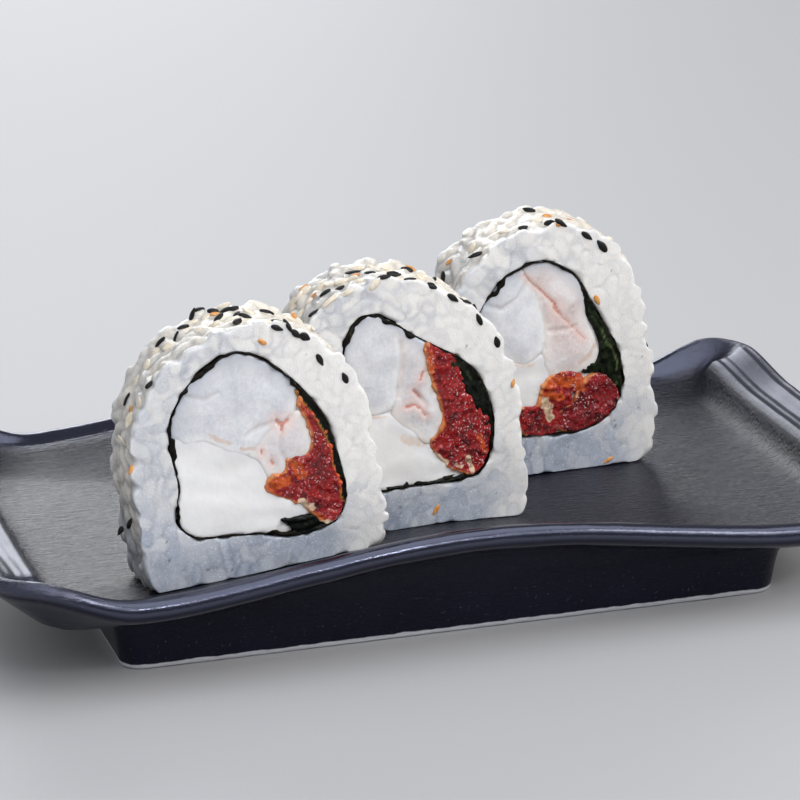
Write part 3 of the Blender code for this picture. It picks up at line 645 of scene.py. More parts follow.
def side_grains(outline, rng):
    """Grains over the round outer face."""
    ring, perimeter = even_spacing(outline, RING_POINTS)
    normal = outward(ring)

    def sample(count, rng):
        return np.stack([rng.uniform(0, perimeter, count), rng.uniform(0.9, THICKNESS - 0.9, count)], axis=1)

    spots = darts(sample, SIDE_GRAIN_SPACING, 5200, rng)
    index = (spots[:, 0] / perimeter * RING_POINTS).astype(int) % RING_POINTS
    up = np.column_stack([normal[index, 0], rng.uniform(-0.12, 0.12, len(spots)), normal[index, 1]])
    up /= np.linalg.norm(up, axis=1)[:, None]
    base = np.column_stack([ring[index, 0], spots[:, 1], ring[index, 1]])
    depth = rng.uniform(1.0, 1.45, len(spots))
    return base - up * depth[:, None], frames_from(up, rng.uniform(0, math.pi, len(spots)))


def face_grains(outline, hole, front, rng):
    """Grains that the knife has cut through, over one flat face."""
    low, high = outline.min(0), outline.max(0)

    def sample(count, rng):
        spots = rng.uniform(low, high, (count, 2))
        ring = inside(spots, outline) & ~inside(spots, hole)
        clear = (distance_to(spots, outline) > 1.2) & (distance_to(spots, hole) > 0.7)
        return spots[ring & clear]

    spots = darts(sample, FACE_GRAIN_SPACING, 9000, rng)
    count = len(spots)
    depth = rng.uniform(0.5, 1.3, count)
    y = depth if front else THICKNESS - depth
    sign = -1.0 if front else 1.0
    lean = rng.uniform(-0.2, 0.2, (2, count))
    up = np.column_stack([lean[0], np.full(count, sign), lean[1]])
    up /= np.linalg.norm(up, axis=1)[:, None]
    return np.column_stack([spots[:, 0], y, spots[:, 1]]), frames_from(up, rng.uniform(0, math.pi, count))


def nearest_grains(points, centres, frames, rng):
    """For each point a random number that its grain keeps, and how close it is to the next grain."""
    share = np.array([-0.7, -0.35, 0.0, 0.35, 0.7]) * GRAIN_LENGTH / 2
    tree = KDTree(len(centres) * len(share))
    for i, (centre, frame) in enumerate(zip(centres, frames)):
        for k, along in enumerate(share):
            tree.insert(centre + frame[0] * along, i * len(share) + k)
    tree.balance()
    chance = rng.uniform(0.0, 1.0, len(centres))
    tint = np.zeros(len(points))
    seam = np.zeros(len(points))
    for i, point in enumerate(points):
        found = tree.find_n(point, 8)
        own = found[0][1] // len(share)
        others = [d for _, k, d in found if k // len(share) != own]
        tint[i] = chance[own]
        seam[i] = others[0] - found[0][2] if others else 1.0
    return tint, 1.0 - smooth(seam / 0.75)


def ring_body(outer, inner, front, back):
    """Closed ring between two outlines with as many points each."""
    rings = [(inner, front), (outer, front), (outer, back), (inner, back)]
    points = [(x, y, z) for flat, y in rings for x, z in flat]
    return np.array(points), band_faces(4, len(outer), True)


def soft_cut(y, start, depth):
    """Flattens what stands proud of the two cut faces, but keeps a little of each crown."""
    low = np.where(y < start, start - depth * np.tanh((start - y) / depth), y)
    far = THICKNESS - start
    return np.where(low > far, far + depth * np.tanh((low - far) / depth), low)


def cavity(mesh, points, passes):
    """How deep each point sits below its neighbours, which sets how much shade is painted into the hollows.
    """
    pairs = np.zeros(len(mesh.edges) * 2, np.int32)
    mesh.edges.foreach_get("vertices", pairs)
    a, b = pairs[0::2], pairs[1::2]
    count = np.bincount(pairs, minlength=len(points)).astype(float)[:, None]
    spread = points.copy()
    for _ in range(passes):
        total = np.zeros_like(spread)
        for k in range(3):
            total[:, k] += np.bincount(a, spread[b, k], len(points))
            total[:, k] += np.bincount(b, spread[a, k], len(points))
        spread = 0.3 * spread + 0.7 * total / np.maximum(count, 1.0)
    return np.sum((spread - points) * coordinates(mesh, "normal"), axis=1)


def gap_shade_field(points, outline, hole, rng):
    """1 at a few small gaps between the cut grains, where shade is painted."""
    low, high = outline.min(0), outline.max(0)
    spots = rng.uniform(low, high, (160, 2))
    clear = (distance_to(spots, outline) > 1.5) & (distance_to(spots, hole) > 0.8)
    spots = spots[inside(spots, outline) & ~inside(spots, hole) & clear][:7]
    field = np.zeros(len(points))
    for spot, size in zip(spots, rng.uniform(0.12, 0.24, len(spots))):
        away = (points[:, [0, 2]] - spot) * rng.uniform(0.6, 1.3, 2)
        field = np.maximum(field, 1.0 - smooth(np.linalg.norm(away, axis=1) / size - 0.4))
    return field


def build_rice(roll, skin):
    rng = np.random.default_rng(SEED + roll["number"])
    outline = closed_curve(roll["rice"], LOOP_STEPS)
    hole = closed_curve(roll["nori"], LOOP_STEPS)
    polar = Polar(hole)
    edge = Polar(outline)
    core_outer, _ = even_spacing(outline - outward(outline) * 0.7, 200)
    _, length, limit = polar.parts(core_outer)
    core_inner = polar.centre + (core_outer - polar.centre) * ((limit + 0.1) / length)[:, None]
    parts = [ring_body(core_outer, core_inner, FACE_INSET, THICKNESS - FACE_INSET)]
    groups = [side_grains(outline, rng)]
    groups += [face_grains(outline, hole, front, rng) for front in (True, False)]
    centres = np.concatenate([group[0] for group in groups])
    frames = np.concatenate([group[1] for group in groups])
    parts.append(scatter(ball(10, 7, 0.7), centres, frames, grain_sizes(len(centres), rng)))
    points, faces = joined(parts)
    mesh = remeshed(f"rice_mesh_{roll['number']}", points, faces, RICE_VOXEL, 8)
    points = coordinates(mesh)
    tint, seam = nearest_grains(points, centres, frames, rng)
    from_face = np.minimum(points[:, 1], THICKNESS - points[:, 1])
    depth = 0.05 + 0.09 * smooth((from_face - 0.6) / 1.2)
    points -= coordinates(mesh, "normal") * (seam * depth)[:, None]
    points[:, 1] = soft_cut(points[:, 1], CUT_START, CUT_RELIEF)
    flat = edge.soft_limit(points[:, [0, 2]], SIDE_RELIEF)
    points[:, [0, 2]] = polar.kept_out(flat, 0.02)
    points[:, 2] *= smooth((points[:, 2] - 0.4) / 1.9)
    world = to_world(roll, points)
    set_coordinates(mesh, world)
    across, height = points[:, 0], points[:, 2]
    # Grain seams: real grain outlines with shade painted into the grooves, mostly on the shaded left and
    # fading towards the lit right
    seam_shade_share = np.clip(0.35 + 0.9 * value_noise(points, 3.4, 31), 0.0, 1.0)
    seam_shade_share = seam_shade_share * (1.0 - 0.85 * smooth((across + 4.0) / 14.0))
    # Painted light and shade: rise is high at the top and the right where the key light falls, low at the
    # bottom left that lies in shade
    light = smooth((height - 3.0) / 16.0) * (0.5 + 0.5 * smooth((across + 22.0) / 34.0))
    # cavity: painted shade in the hollows and grain seams
    store(
        mesh, cavity=np.clip(cavity(mesh, world, 12) / 0.4 + seam * 0.3, 0.0, 1.0), tint=tint,
        seam=seam * seam_shade_share, pit=gap_shade_field(points, outline, hole, rng), side=smooth((from_face - 0.5) / 1.2),
        rise=np.maximum(light, 0.75 * smooth((across - 10.0) / 10.0)))
    name = f"rice_grains_{roll['number']}"
    return show(name, mesh, skin, [f"rice_{roll['number']}"])


# Seaweed
def build_nori(roll, skin):
    """The rolled sheet, with a slightly uneven thickness and cut edges."""
    number = roll["number"]
    ring, _ = even_spacing(closed_curve(roll["nori"], LOOP_STEPS), NORI_POINTS)
    normal = outward(ring)
    stations = np.array([0.0, 0.25, 1.0, 3.0, 5.0, 7.0, 9.0, 11.0, 13.0, 13.75, 14.0])
    solid = np.column_stack([ring[:, 0], np.zeros(len(ring)), ring[:, 1]])
    thick = 0.16 + 0.34 * value_noise(solid, 3.2, 40 + number) + 0.16 * value_noise(solid, 1.2, 50 + number)
    thick = np.clip(thick, 0.03, 0.8)
    thick += (0.65 + 0.4 * value_noise(solid, 1.8, 48)) * stroke_field(solid, roll["nori_folds"], 0.1)
    ring = ring - normal * (0.18 + 0.22 * value_noise(solid, 1.7, 45 + number))[:, None]
    ragged = 0.4 * value_noise(solid, 1.4, 60 + number) + 0.3
    rows = []
    for side in (1, -1):
        for y in stations if side == 1 else stations[::-1]:
            edge = 0.6 if y in (0.0, THICKNESS) else 1.0
            shift = np.full(len(ring), 0.1) if side == 1 else -thick * edge
            flat = ring + normal * shift[:, None]
            close = smooth((THICKNESS - y) / 2.0) - smooth(y / 2.0)
            rows.append(np.column_stack([flat[:, 0], y + ragged * close, flat[:, 1]]))
    faces = band_faces(len(rows), len(ring), True)
    points = np.concatenate(rows)
    points += np.column_stack([value_noise(points, 0.9, 70 + k) * 0.12 for k in range(3)])
    mesh = mesh_from(f"nori_mesh_{number}", to_world(roll, points), faces)
    return show(f"nori_sheet_{number}", mesh, skin, [f"nori_{number}"])


# Fillings
def prism(flat, inset):
    """Closed body between two flat faces, an inset behind the cut faces."""
    count = len(flat)
    points = [(x, y, z) for y in (inset, THICKNESS - inset) for x, z in flat]
    faces = [tuple(range(count)), tuple(range(2 * count - 1, count - 1, -1))]
    return np.array(points), faces + band_faces(2, count, False)


def section_outline(control, polar, margin, near_by):
    """The piece's outline, drawn out to the seaweed wherever it comes near it."""
    direction, length, limit = polar.parts(closed_curve(control, 6))
    near = smooth((length - limit + near_by) / 1.2)
    reach = length + (limit - margin - length) * near
    return polar.centre + direction * np.minimum(reach, limit - margin)[:, None]


def finish_section(roll, name, mesh, points, skin, nodes):
    world = to_world(roll, points)
    set_coordinates(mesh, world)
    # cavity: painted shade in the hollows
    store(mesh, cavity=np.clip(cavity(mesh, world, 10) / 0.25, 0.0, 1.0))
    return show(name, mesh, skin, nodes)


def which_face(points):
    return np.where(points[:, 1] < THICKNESS / 2, -1.0, 1.0)


def crown(points, flat, height, reach):
    """Lifts both faces towards the middle of the outline, like cut meat that swells."""
    away = distance_to(points[:, [0, 2]], flat)
    lift = height * smooth(away / reach)
    near = 1.0 - smooth(points[:, 1] / 1.5)
    far = 1.0 - smooth((THICKNESS - points[:, 1]) / 1.5)
    points[:, 1] += lift * (far - near)
    return away


def stroke_field(points, strokes, raggedness=0.45):
    """1 along each stroke (half width, section points) and fading to 0 at its ragged edge."""
    field = np.zeros(len(points))
    flat = points[:, [0, 2]]
    ragged = value_noise(points, 0.8, 77) * raggedness
    for half_width, line in strokes:
        away = distance_to(flat, np.array(line, float), closed=False)
        field = np.maximum(field, 1.0 - smooth((away / half_width + ragged - 0.5) / 0.7))
    return field


def shared_ripple(roll, points):
    """The same swell runs over all the fillings of a roll, so that their faces meet."""
    seed = 100 + roll["number"] * 7
    return value_noise(points * [1.0, 0.3, 1.0], 6.0, seed) * 0.25


def build_shrimp(roll, name, control, polar, skin, slot):
    flat = section_outline(control, polar, NORI_CLEARANCE, 2.4)
    flat = polar.kept_in(flat + outward(flat) * 0.3, NORI_CLEARANCE)
    mesh = remeshed(name, *prism(flat, FACE_INSET), FILLING_VOXEL, 2)
    points = coordinates(mesh)
    away = crown(points, flat, CROWN_HEIGHT, CROWN_REACH)
    seed = 130 + roll["number"] * 7
    crack = stroke_field(points, roll["red_spots"])
    ripple = shared_ripple(roll, points) - crack * 0.22 - stroke_field(points, roll["creases"]) * 0.2
    drawn_out = points * [1.0, 0.3, 1.0]
    ripple += value_noise(drawn_out, 1.3, seed) * 0.06 + value_noise(drawn_out, 2.8, seed + 1) * 0.1
    points[:, 1] += ripple * which_face(points)
    # Painted shade: the flesh is painted greyer blue towards the seaweed, at its shaded outer edge
    _, length, limit = polar.parts(points[:, [0, 2]])
    near_nori = 1.0 - smooth((limit - length) / 4.4)
    wide = [(4.2 * half, line) for half, line in roll["red_spots"]]
    store(
        mesh, red=crack, glow=stroke_field(points, wide, 0.2), stain=stroke_field(points, roll["stains"]),
        near_nori=near_nori, blush=np.full(len(points), roll["blush"]),
        edge=(1.0 - smooth(away / 3.0)) * (1.0 - near_nori))
    return finish_section(roll, f"{name}_flesh", mesh, points, skin, [name])


def build_cheese(roll, name, control, polar, skin, slot):
    """The cheese, with the paste that fills the gaps behind the other pieces."""
    flat = section_outline(control, polar, NORI_CLEARANCE, 2.4)
    whole = polar.kept_in(closed_curve(roll["nori"], 4), 0.35)
    parts = [prism(flat, FACE_INSET), prism(whole, FILLER_INSET)]
    mesh = remeshed(name, *joined(parts), CHEESE_VOXEL, 2)
    points = coordinates(mesh)
    seed = 200 + roll["number"] * 7
    ripple = shared_ripple(roll, points) + value_noise(points, 1.7, seed + 1) * 0.05
    steps = np.sin(points[:, 2] * 1.1 + value_noise(points, 7.0, seed) * 2.0)
    points[:, 1] += which_face(points) * (ripple + steps * 0.04)
    section = points[:, [0, 2]]
    away = np.full(len(points), 9.0)
    for kind in ("shrimp_large", "shrimp_small"):
        away = np.minimum(away, distance_to(section, closed_curve(roll["fillings"][kind], 3)))
    store(mesh, meet=1.0 - smooth(away / 2.6), stain=stroke_field(points, roll["stains"]))
    return finish_section(roll, f"{name}_paste", mesh, points, skin, [name])


def build_tomato(roll, name, control, polar, skin, slot):
    """A heap of small wet lumps pressed together."""
    rng = np.random.default_rng(SEED + 300 + roll["number"] + len(name))
    flat = section_outline(control, polar, NORI_CLEARANCE, 0.6)
    low, high = flat.min(0), flat.max(0)

    def sample(count, rng):
        spots = rng.uniform(low, high, (count, 2))
        return spots[inside(spots, flat) & (distance_to(spots, flat) > 0.2)]

    parts = [prism(flat, 0.4)]
    template = ball(8, 6, 0.9)
    for front in (True, False):
        spots = darts(sample, LUMP_SPACING, 7000, rng)
        count = len(spots)
        swell = value_noise(np.column_stack([spots, np.zeros(count)]), 2.4, 90 + roll["number"]) * 0.3
        depth = rng.uniform(0.22, 0.62, count) - swell
        y = depth if front else THICKNESS - depth
        centres = np.column_stack([spots[:, 0], y, spots[:, 1]])
        up = rng.normal(0.0, 1.0, (count, 3))
        up /= np.linalg.norm(up, axis=1)[:, None]
        sizes = rng.uniform(0.36, 0.62, (count, 1)) * rng.uniform(0.65, 1.35, (count, 3))
        parts.append(scatter(template, centres, frames_from(up, rng.uniform(0, math.pi, count)), sizes))
    mesh = remeshed(name, *joined(parts), TOMATO_VOXEL, 6)
    points = coordinates(mesh)
    points[:, 1] += shared_ripple(roll, points) * which_face(points)
    section = points[:, [0, 2]]
    left_edge = ~inside(section - [1.1, 0.0], flat)
    store(
        mesh, edge=left_edge * (1.0 - smooth(distance_to(section, flat) / 1.1)),
        orange=stroke_field(points, roll["orange_spots"]), pale=stroke_field(points, roll["pale_spots"]))
    return finish_section(roll, f"{name}_pulp", mesh, points, skin, [name])


def build_leaf(roll, polar, skin):
    """The folded leaf along the right of the filling, with its end tucked under where it shows."""
    number = roll["number"]
    name = f"leaf_{number}"
    parts = []
    for control in (roll["leaf"], roll["leaf_end"]):
        if control:
            flat = section_outline(control, polar, 0.2, 1.2)
            parts.append(prism(flat, 0.22))
    mesh = remeshed(name, *joined(parts), LEAF_VOXEL, 2)
    points = coordinates(mesh)
    _, length, limit = polar.parts(points[:, [0, 2]])
    fold = np.sin((limit - length) * 4.2 + value_noise(points, 3.0, 400 + number) * 2.2)
    drawn_out = points * [1.0, 0.2, 1.0]
    depth = limit - length + value_noise(drawn_out, 2.6, 420 + number) * 0.35
    depth += value_noise(drawn_out, 1.1, 430 + number) * 0.3
    broken = smooth(value_noise(points, 2.2, 440 + number) * 2.5 + 0.6)
    section = points[:, [0, 2]]
    main = closed_curve(roll["leaf"], 6)
    left_edge = (distance_to(section, main) < 0.34) & ~inside(section - [0.45, 0.0], main)
    store(
        mesh, vein=np.clip(1.0 - np.abs(depth - 1.4) / 0.24, 0.0, 1.0) * broken * roll["green"],
        green=np.full(len(points), roll["green"]), gold=left_edge * roll["gold"])
    swell = shared_ripple(roll, points) + fold * 0.16 + value_noise(points, 1.2, 410 + number) * 0.2
    points[:, 1] += which_face(points) * swell
    return finish_section(roll, f"leaf_folds_{number}", mesh, points, skin, [name])


# Seeds
def camera_axes():
    place = np.array(CAMERA_PLACE)
    forward = np.array(CAMERA_TARGET) - place
    forward /= np.linalg.norm(forward)
    right = np.cross(forward, (0.0, 0.0, 1.0))
    right /= np.linalg.norm(right)
    return place, forward, right, np.cross(right, forward)


def pixel_ray(across, down):
    place, forward, right, up = camera_axes()
    focal = CAMERA_LENS / SENSOR * IMAGE_SIZE
    half = IMAGE_SIZE / 2
    ray = forward + right * (across - half) / focal + up * (half - down) / focal
    return place, ray / np.linalg.norm(ray)


def seed_frame(normal, direction, rng):
    """Lies a seed on the surface with its length along a direction."""
    up = np.array(normal) + rng.uniform(-0.12, 0.12, 3)
    up /= np.linalg.norm(up)
    along = direction - up * (direction @ up)
    along /= np.linalg.norm(along)
    return np.stack([along, np.cross(up, along), up])


def photo_spots(table, tree, rng):
    """Where the listed pixels meet the rice, and how the seed lies there."""
    _, _, right, up = camera_axes()
    centres, frames = [], []
    for across, down, lean in table:
        place, ray = pixel_ray(across, down)
        hit, normal, _, _ = tree.ray_cast(Vector(place), Vector(ray))
        if hit is None:
            hit, normal, _, _ = tree.find_nearest(Vector(place + ray * DISTANCE_TO_ROLLS))
        angle = math.radians(lean)
        direction = right * math.cos(angle) + up * math.sin(angle)
        centres.append(np.array(hit))
        frames.append(seed_frame(normal, direction, rng))
    return centres, frames


def hidden_spots(share, least_height, tree, rng):
    """More seeds over the tops and sides that the photograph doesn't show."""
    centres, frames = [], []
    for roll in ROLLS:
        ring, _ = even_spacing(closed_curve(roll["rice"], LOOP_STEPS), RING_POINTS)
        normal = outward(ring)
        tries = 0
        made = 0
        while made < share and tries < 600:
            tries += 1
            k = int(rng.integers(0, RING_POINTS))
            y = rng.uniform(1.5, THICKNESS - 1.0)
            if ring[k, 1] < least_height * roll["height"] or normal[k, 0] < 0.15:
                continue
            start = np.array([[ring[k, 0] + normal[k, 0] * 6, y, ring[k, 1] + normal[k, 1] * 6]])
            aim = np.array([[ring[k, 0], y, ring[k, 1]]])
            start, aim = to_world(roll, start)[0], to_world(roll, aim)[0]
            hit, up, _, _ = tree.ray_cast(Vector(start), Vector(aim - start))
            if hit is None:
                continue
            made += 1
            centres.append(np.array(hit))
            frames.append(seed_frame(up, rng.normal(0.0, 1.0, 3), rng))
    return centres, frames


def sesame_ball():
    """A flat drop, wider at one end."""
    points, faces = ball(12, 10, 0.9)
    narrow = 1.0 - 0.42 * smooth((points[:, 0] + 0.1) / 1.1)
    points = points * np.column_stack([np.ones(len(points)), narrow, np.sqrt(narrow)])
    return points, faces


def build_seeds(name, table, extra, size, lift, tree, seed, skin):
    rng = np.random.default_rng(SEED + seed)
    centres, frames = photo_spots(table, tree, rng)
    more_centres, more_frames = hidden_spots(extra, 0.35, tree, rng)
    centres = np.array(centres + more_centres)
    frames = np.array(frames + more_frames)
    flip = rng.integers(0, 2, len(frames)) * 2.0 - 1.0
    frames[:, :2] *= flip[:, None, None]
    sizes = np.array(size) / 2 * rng.uniform(0.75, 1.15, (len(frames), 3))
    centres = centres + frames[:, 2] * lift
    points, faces = scatter(sesame_ball(), centres, frames, sizes)
    mesh = mesh_from(name, points, faces)
    return show(name, mesh, skin, [])


# Materials
def feed(node, inputs):
    """Links or sets the inputs of a node."""
    for key, value in inputs.items():
        if isinstance(value, bpy.types.NodeSocket):
            node.id_data.links.new(value, node.inputs[key])
        else:
            node.inputs[key].default_value = value


def new_skin(name, values):
    skin = bpy.data.materials.new(name)
    skin.use_nodes = True
    feed(skin.node_tree.nodes["Principled BSDF"], values)
    return skin, skin.node_tree


def add(tree, kind, inputs=None, **settings):
    node = tree.nodes.new(kind)
    for key, value in settings.items():
        setattr(node, key, value)
    feed(node, inputs or {})
    return node


def rgba(colour):
    """A grey level or three numbers, as the four numbers that a socket takes."""
    return (colour, colour, colour, 1.0) if isinstance(colour, float) else (*colour, 1.0)


def place_of(tree, stretch=(1.0, 1.0, 1.0)):
    """Object coordinates in millimetres."""
    coordinate = add(tree, "ShaderNodeTexCoord")
    inputs = {"Vector": coordinate.outputs["Object"], "Scale": tuple(s / MM for s in stretch)}
    return add(tree, "ShaderNodeMapping", inputs).outputs[0]


def noise(tree, where, scale, detail=3.0, rough=0.5, distortion=0.0):
    inputs = {
        "Vector": where, "Scale": scale, "Detail": detail, "Roughness": rough, "Distortion": distortion}
    return add(tree, "ShaderNodeTexNoise", inputs).outputs["Fac"]


def ramp(tree, factor, stops):
    node = add(tree, "ShaderNodeValToRGB", {"Fac": factor})
    elements = node.color_ramp.elements
    while len(elements) < len(stops):
        elements.new(0.5)
    for element, (position, colour) in zip(elements, stops):
        element.position = position
        element.color = rgba(colour)
    return node.outputs["Color"]


def mixed(tree, factor, a, b, mode="MIX"):
    a, b = (value if isinstance(value, bpy.types.NodeSocket) else rgba(value) for value in (a, b))
    inputs = {0: factor, 6: a, 7: b}
    return add(tree, "ShaderNodeMix", inputs, data_type="RGBA", blend_type=mode).outputs[2]


def maths(tree, operation, a, b=0.0):
    return add(tree, "ShaderNodeMath", {0: a, 1: b}, operation=operation).outputs[0]


def times(tree, a, b):
    return maths(tree, "MULTIPLY", a, b)


def plus(tree, a, b):
    return maths(tree, "ADD", a, b)


def attribute(tree, name):
    return add(tree, "ShaderNodeAttribute", attribute_name=name).outputs["Fac"]


def laid(tree, colour, factor, share, over):
    """Another colour over this one, by a share of the factor."""
    return mixed(tree, times(tree, factor, share), colour, over)


def darkened(tree, colour, name, by):
    """The colour multiplied by another one where the stored field stands."""
    return mixed(tree, attribute(tree, name), colour, mixed(tree, 1.0, colour, by, "MULTIPLY"))


def finished(skin, inputs, height, strength, distance):
    """Connects the shader, with a bump of so many millimetres."""
    values = {"Height": height, "Strength": strength, "Distance": distance * MM}
    normal = add(skin.node_tree, "ShaderNodeBump", values).outputs["Normal"]
    feed(skin.node_tree.nodes["Principled BSDF"], {"Normal": normal, **inputs})
    return skin


def patchy(tree, name, where, scale):
    """A stored field broken up by noise, so that its edge isn't even."""
    broken = times(tree, attribute(tree, name), noise(tree, where, scale, 3.0, 0.6))
    return ramp(tree, broken, ((0.2, 0.0), (0.5, 0.9)))


def glaze_skin():
    skin, tree = new_skin("dark_glaze", {"IOR": 1.5})
    where = place_of(tree)
    at = add(tree, "ShaderNodeSeparateXYZ", {"Vector": where}).outputs
    upper, rim, end = (attribute(tree, name) for name in ("upper", "rim", "end"))
    streaks = noise(tree, place_of(tree, (0.35, 3.0, 3.0)), 0.55, 6.0, 0.65)
    blotch = noise(tree, where, 0.07, 4.0, 0.6)
    tint = ramp(tree, blotch, ((0.3, (0.003, 0.003, 0.008)), (0.7, (0.006, 0.006, 0.017))))
    specks = ramp(tree, noise(tree, where, 1.7, 2.0, 0.5), ((0.66, 0.0), (0.74, 1.0)))
    tint = mixed(tree, specks, tint, (0.035, 0.035, 0.055))
    ragged = plus(tree, at["Z"], times(tree, noise(tree, where, 0.3), 0.7))
    bare = ramp(tree, times(tree, ragged, 0.1), ((0.14, 1.0), (0.16, 0.0)))
    rough = ramp(tree, streaks, ((0.35, 0.16), (0.65, 0.36)))
    smooth_glaze = ramp(tree, blotch, ((0.35, 0.09), (0.7, 0.2)))
    rough = mixed(tree, end, mixed(tree, rim, rough, smooth_glaze), 0.34)
    grain = plus(tree, streaks, times(tree, noise(tree, where, 1.1, 4.0, 0.6), 0.7))
    rougher = plus(tree, attribute(tree, "pitted"), attribute(tree, "border"))
    calm = plus(tree, ramp(tree, rim, ((0.0, 0.6), (1.0, 0.08))), times(tree, rougher, 0.5))
    ridge = maths(tree, "SINE", times(tree, maths(tree, "ABSOLUTE", at["X"]), RIDGE_TURN))
    ridge = times(tree, times(tree, ridge, end), 0.12)
    level = plus(tree, times(tree, upper, 0.36), times(tree, rim, 0.46))
    level = maths(tree, "SUBTRACT", level, times(tree, end, 0.14))
    inputs = {
        "Base Color": mixed(tree, bare, tint, (0.62, 0.62, 0.66)),
        "Roughness": mixed(tree, bare, rough, 0.8),
        "Specular IOR Level": times(tree, level, plus(tree, upper, 0.45)),
        "Specular Tint": mixed(tree, rim, (0.97, 0.97, 1.0), (0.70, 0.75, 1.0)),
    }
    return finished(skin, inputs, plus(tree, times(tree, grain, calm), ridge), 1.0, 0.45)


def rice_skin():
    values = {
        "Roughness": 0.34, "Subsurface Weight": 0.4, "Subsurface Scale": 0.0014,
        "Subsurface Radius": (1.0, 0.9, 0.82), "Specular IOR Level": 0.5, "Coat Weight": 0.3,
        "Coat Roughness": 0.14,
    }
    skin, tree = new_skin("cooked_rice", values)
    where = place_of(tree)
    cloud = noise(tree, where, 0.45, 3.0, 0.55)
    # Translucent rice with painted shade: white where the stored rise says lit, dark grey-blue where it says
    # shaded at the bottom and left
    white = ramp(tree, cloud, ((0.3, (0.93, 0.90, 0.85)), (0.7, (0.99, 0.97, 0.93))))
    clear = ramp(tree, cloud, ((0.3, (0.36, 0.41, 0.50)), (0.7, (0.48, 0.53, 0.62))))
    spread = times(tree, attribute(tree, "tint"), 0.4)
    share = maths(tree, "SUBTRACT", plus(tree, spread, 0.75), attribute(tree, "rise"))
    glassy_shade = ramp(tree, share, ((0.05, 0.02), (1.0, 0.95)))
    colour = mixed(tree, glassy_shade, white, clear)
    # painted glints: small pale specks standing in for sparkle
    painted_glints = ramp(tree, noise(tree, where, 2.6, 3.0, 0.6), ((0.54, 0.0), (0.72, 0.6)))
    colour = mixed(tree, painted_glints, colour, (0.92, 0.93, 0.95))
    colour = darkened(tree, colour, "side", (0.93, 0.88, 0.79))
    # grain seams: grain outlines, with painted shade in the grooves
    colour = darkened(tree, colour, "seam", (0.74, 0.76, 0.81))
    # painted shade in small gaps between grains
    colour = darkened(tree, colour, "pit", (0.40, 0.38, 0.36))
    # painted shade in the hollows between grains
    colour = darkened(tree, colour, "cavity", (0.74, 0.75, 0.78))
    rough = ramp(tree, noise(tree, where, 0.7, 2.0), ((0.35, 0.24), (0.7, 0.45)))
    inputs = {"Base Color": colour, "Roughness": rough}
    return finished(skin, inputs, noise(tree, where, 3.0, 3.0, 0.65), 0.5, 0.2)


def shrimp_skin(name, pale, deep, edge):
    values = {
        "Roughness": 0.3, "Subsurface Weight": 0.5, "Subsurface Scale": 0.002,
        "Subsurface Radius": (1.0, 0.8, 0.7), "Coat Weight": 0.3, "Coat Roughness": 0.16,
    }
    skin, tree = new_skin(name, values)
    where = place_of(tree, (1.0, 0.35, 1.0))
    cloud = noise(tree, where, 0.13, 4.0, 0.6, 0.6)
    fibre = noise(tree, where, 1.5, 5.0, 0.65, 0.4)
    pink = ramp(tree, cloud, ((0.38, pale), (0.66, deep)))
    plain = ramp(tree, cloud, ((0.36, (0.76, 0.765, 0.79)), (0.68, (0.62, 0.635, 0.68))))
    colour = mixed(tree, attribute(tree, "blush"), plain, pink)
    grainy = ramp(tree, fibre, ((0.4, 0.0), (0.75, 0.5)))
    colour = mixed(tree, grainy, colour, (0.97, 0.97, 0.98))
    # painted shade near the seaweed
    colour = laid(tree, colour, attribute(tree, "near_nori"), 0.85, (0.46, 0.49, 0.56))
    colour = laid(tree, colour, attribute(tree, "edge"), 0.95, edge)
    colour = laid(tree, colour, attribute(tree, "glow"), 0.45, (0.88, 0.62, 0.55))
    colour = laid(tree, colour, patchy(tree, "stain", where, 0.9), 0.6, (0.70, 0.48, 0.34))
    colour = laid(tree, colour, patchy(tree, "red", where, 1.2), 0.75, (0.72, 0.17, 0.07))
    # painted shade in the hollows
    colour = darkened(tree, colour, "cavity", (0.88, 0.84, 0.82))
    return finished(skin, {"Base Color": colour}, fibre, 0.4, 0.25)


def cheese_skin():
    values = {
        "Roughness": 0.42, "Subsurface Weight": 0.3, "Subsurface Scale": 0.0015,
        "Subsurface Radius": (1.0, 0.9, 0.8),
    }
    skin, tree = new_skin("cream_cheese", values)
    where = place_of(tree)
    cloud = noise(tree, where, 0.25, 4.0, 0.5)
    colour = ramp(tree, cloud, ((0.3, (0.91, 0.90, 0.88)), (0.7, (0.97, 0.965, 0.95))))
    colour = laid(tree, colour, attribute(tree, "meet"), 0.9, (0.84, 0.83, 0.84))
    colour = laid(tree, colour, patchy(tree, "stain", where, 1.1), 0.6, (0.78, 0.56, 0.40))
    # painted shade in the hollows
    colour = darkened(tree, colour, "cavity", (0.9, 0.88, 0.86))
    return finished(skin, {"Base Color": colour}, noise(tree, where, 0.8, 5.0, 0.55), 0.25, 0.3)


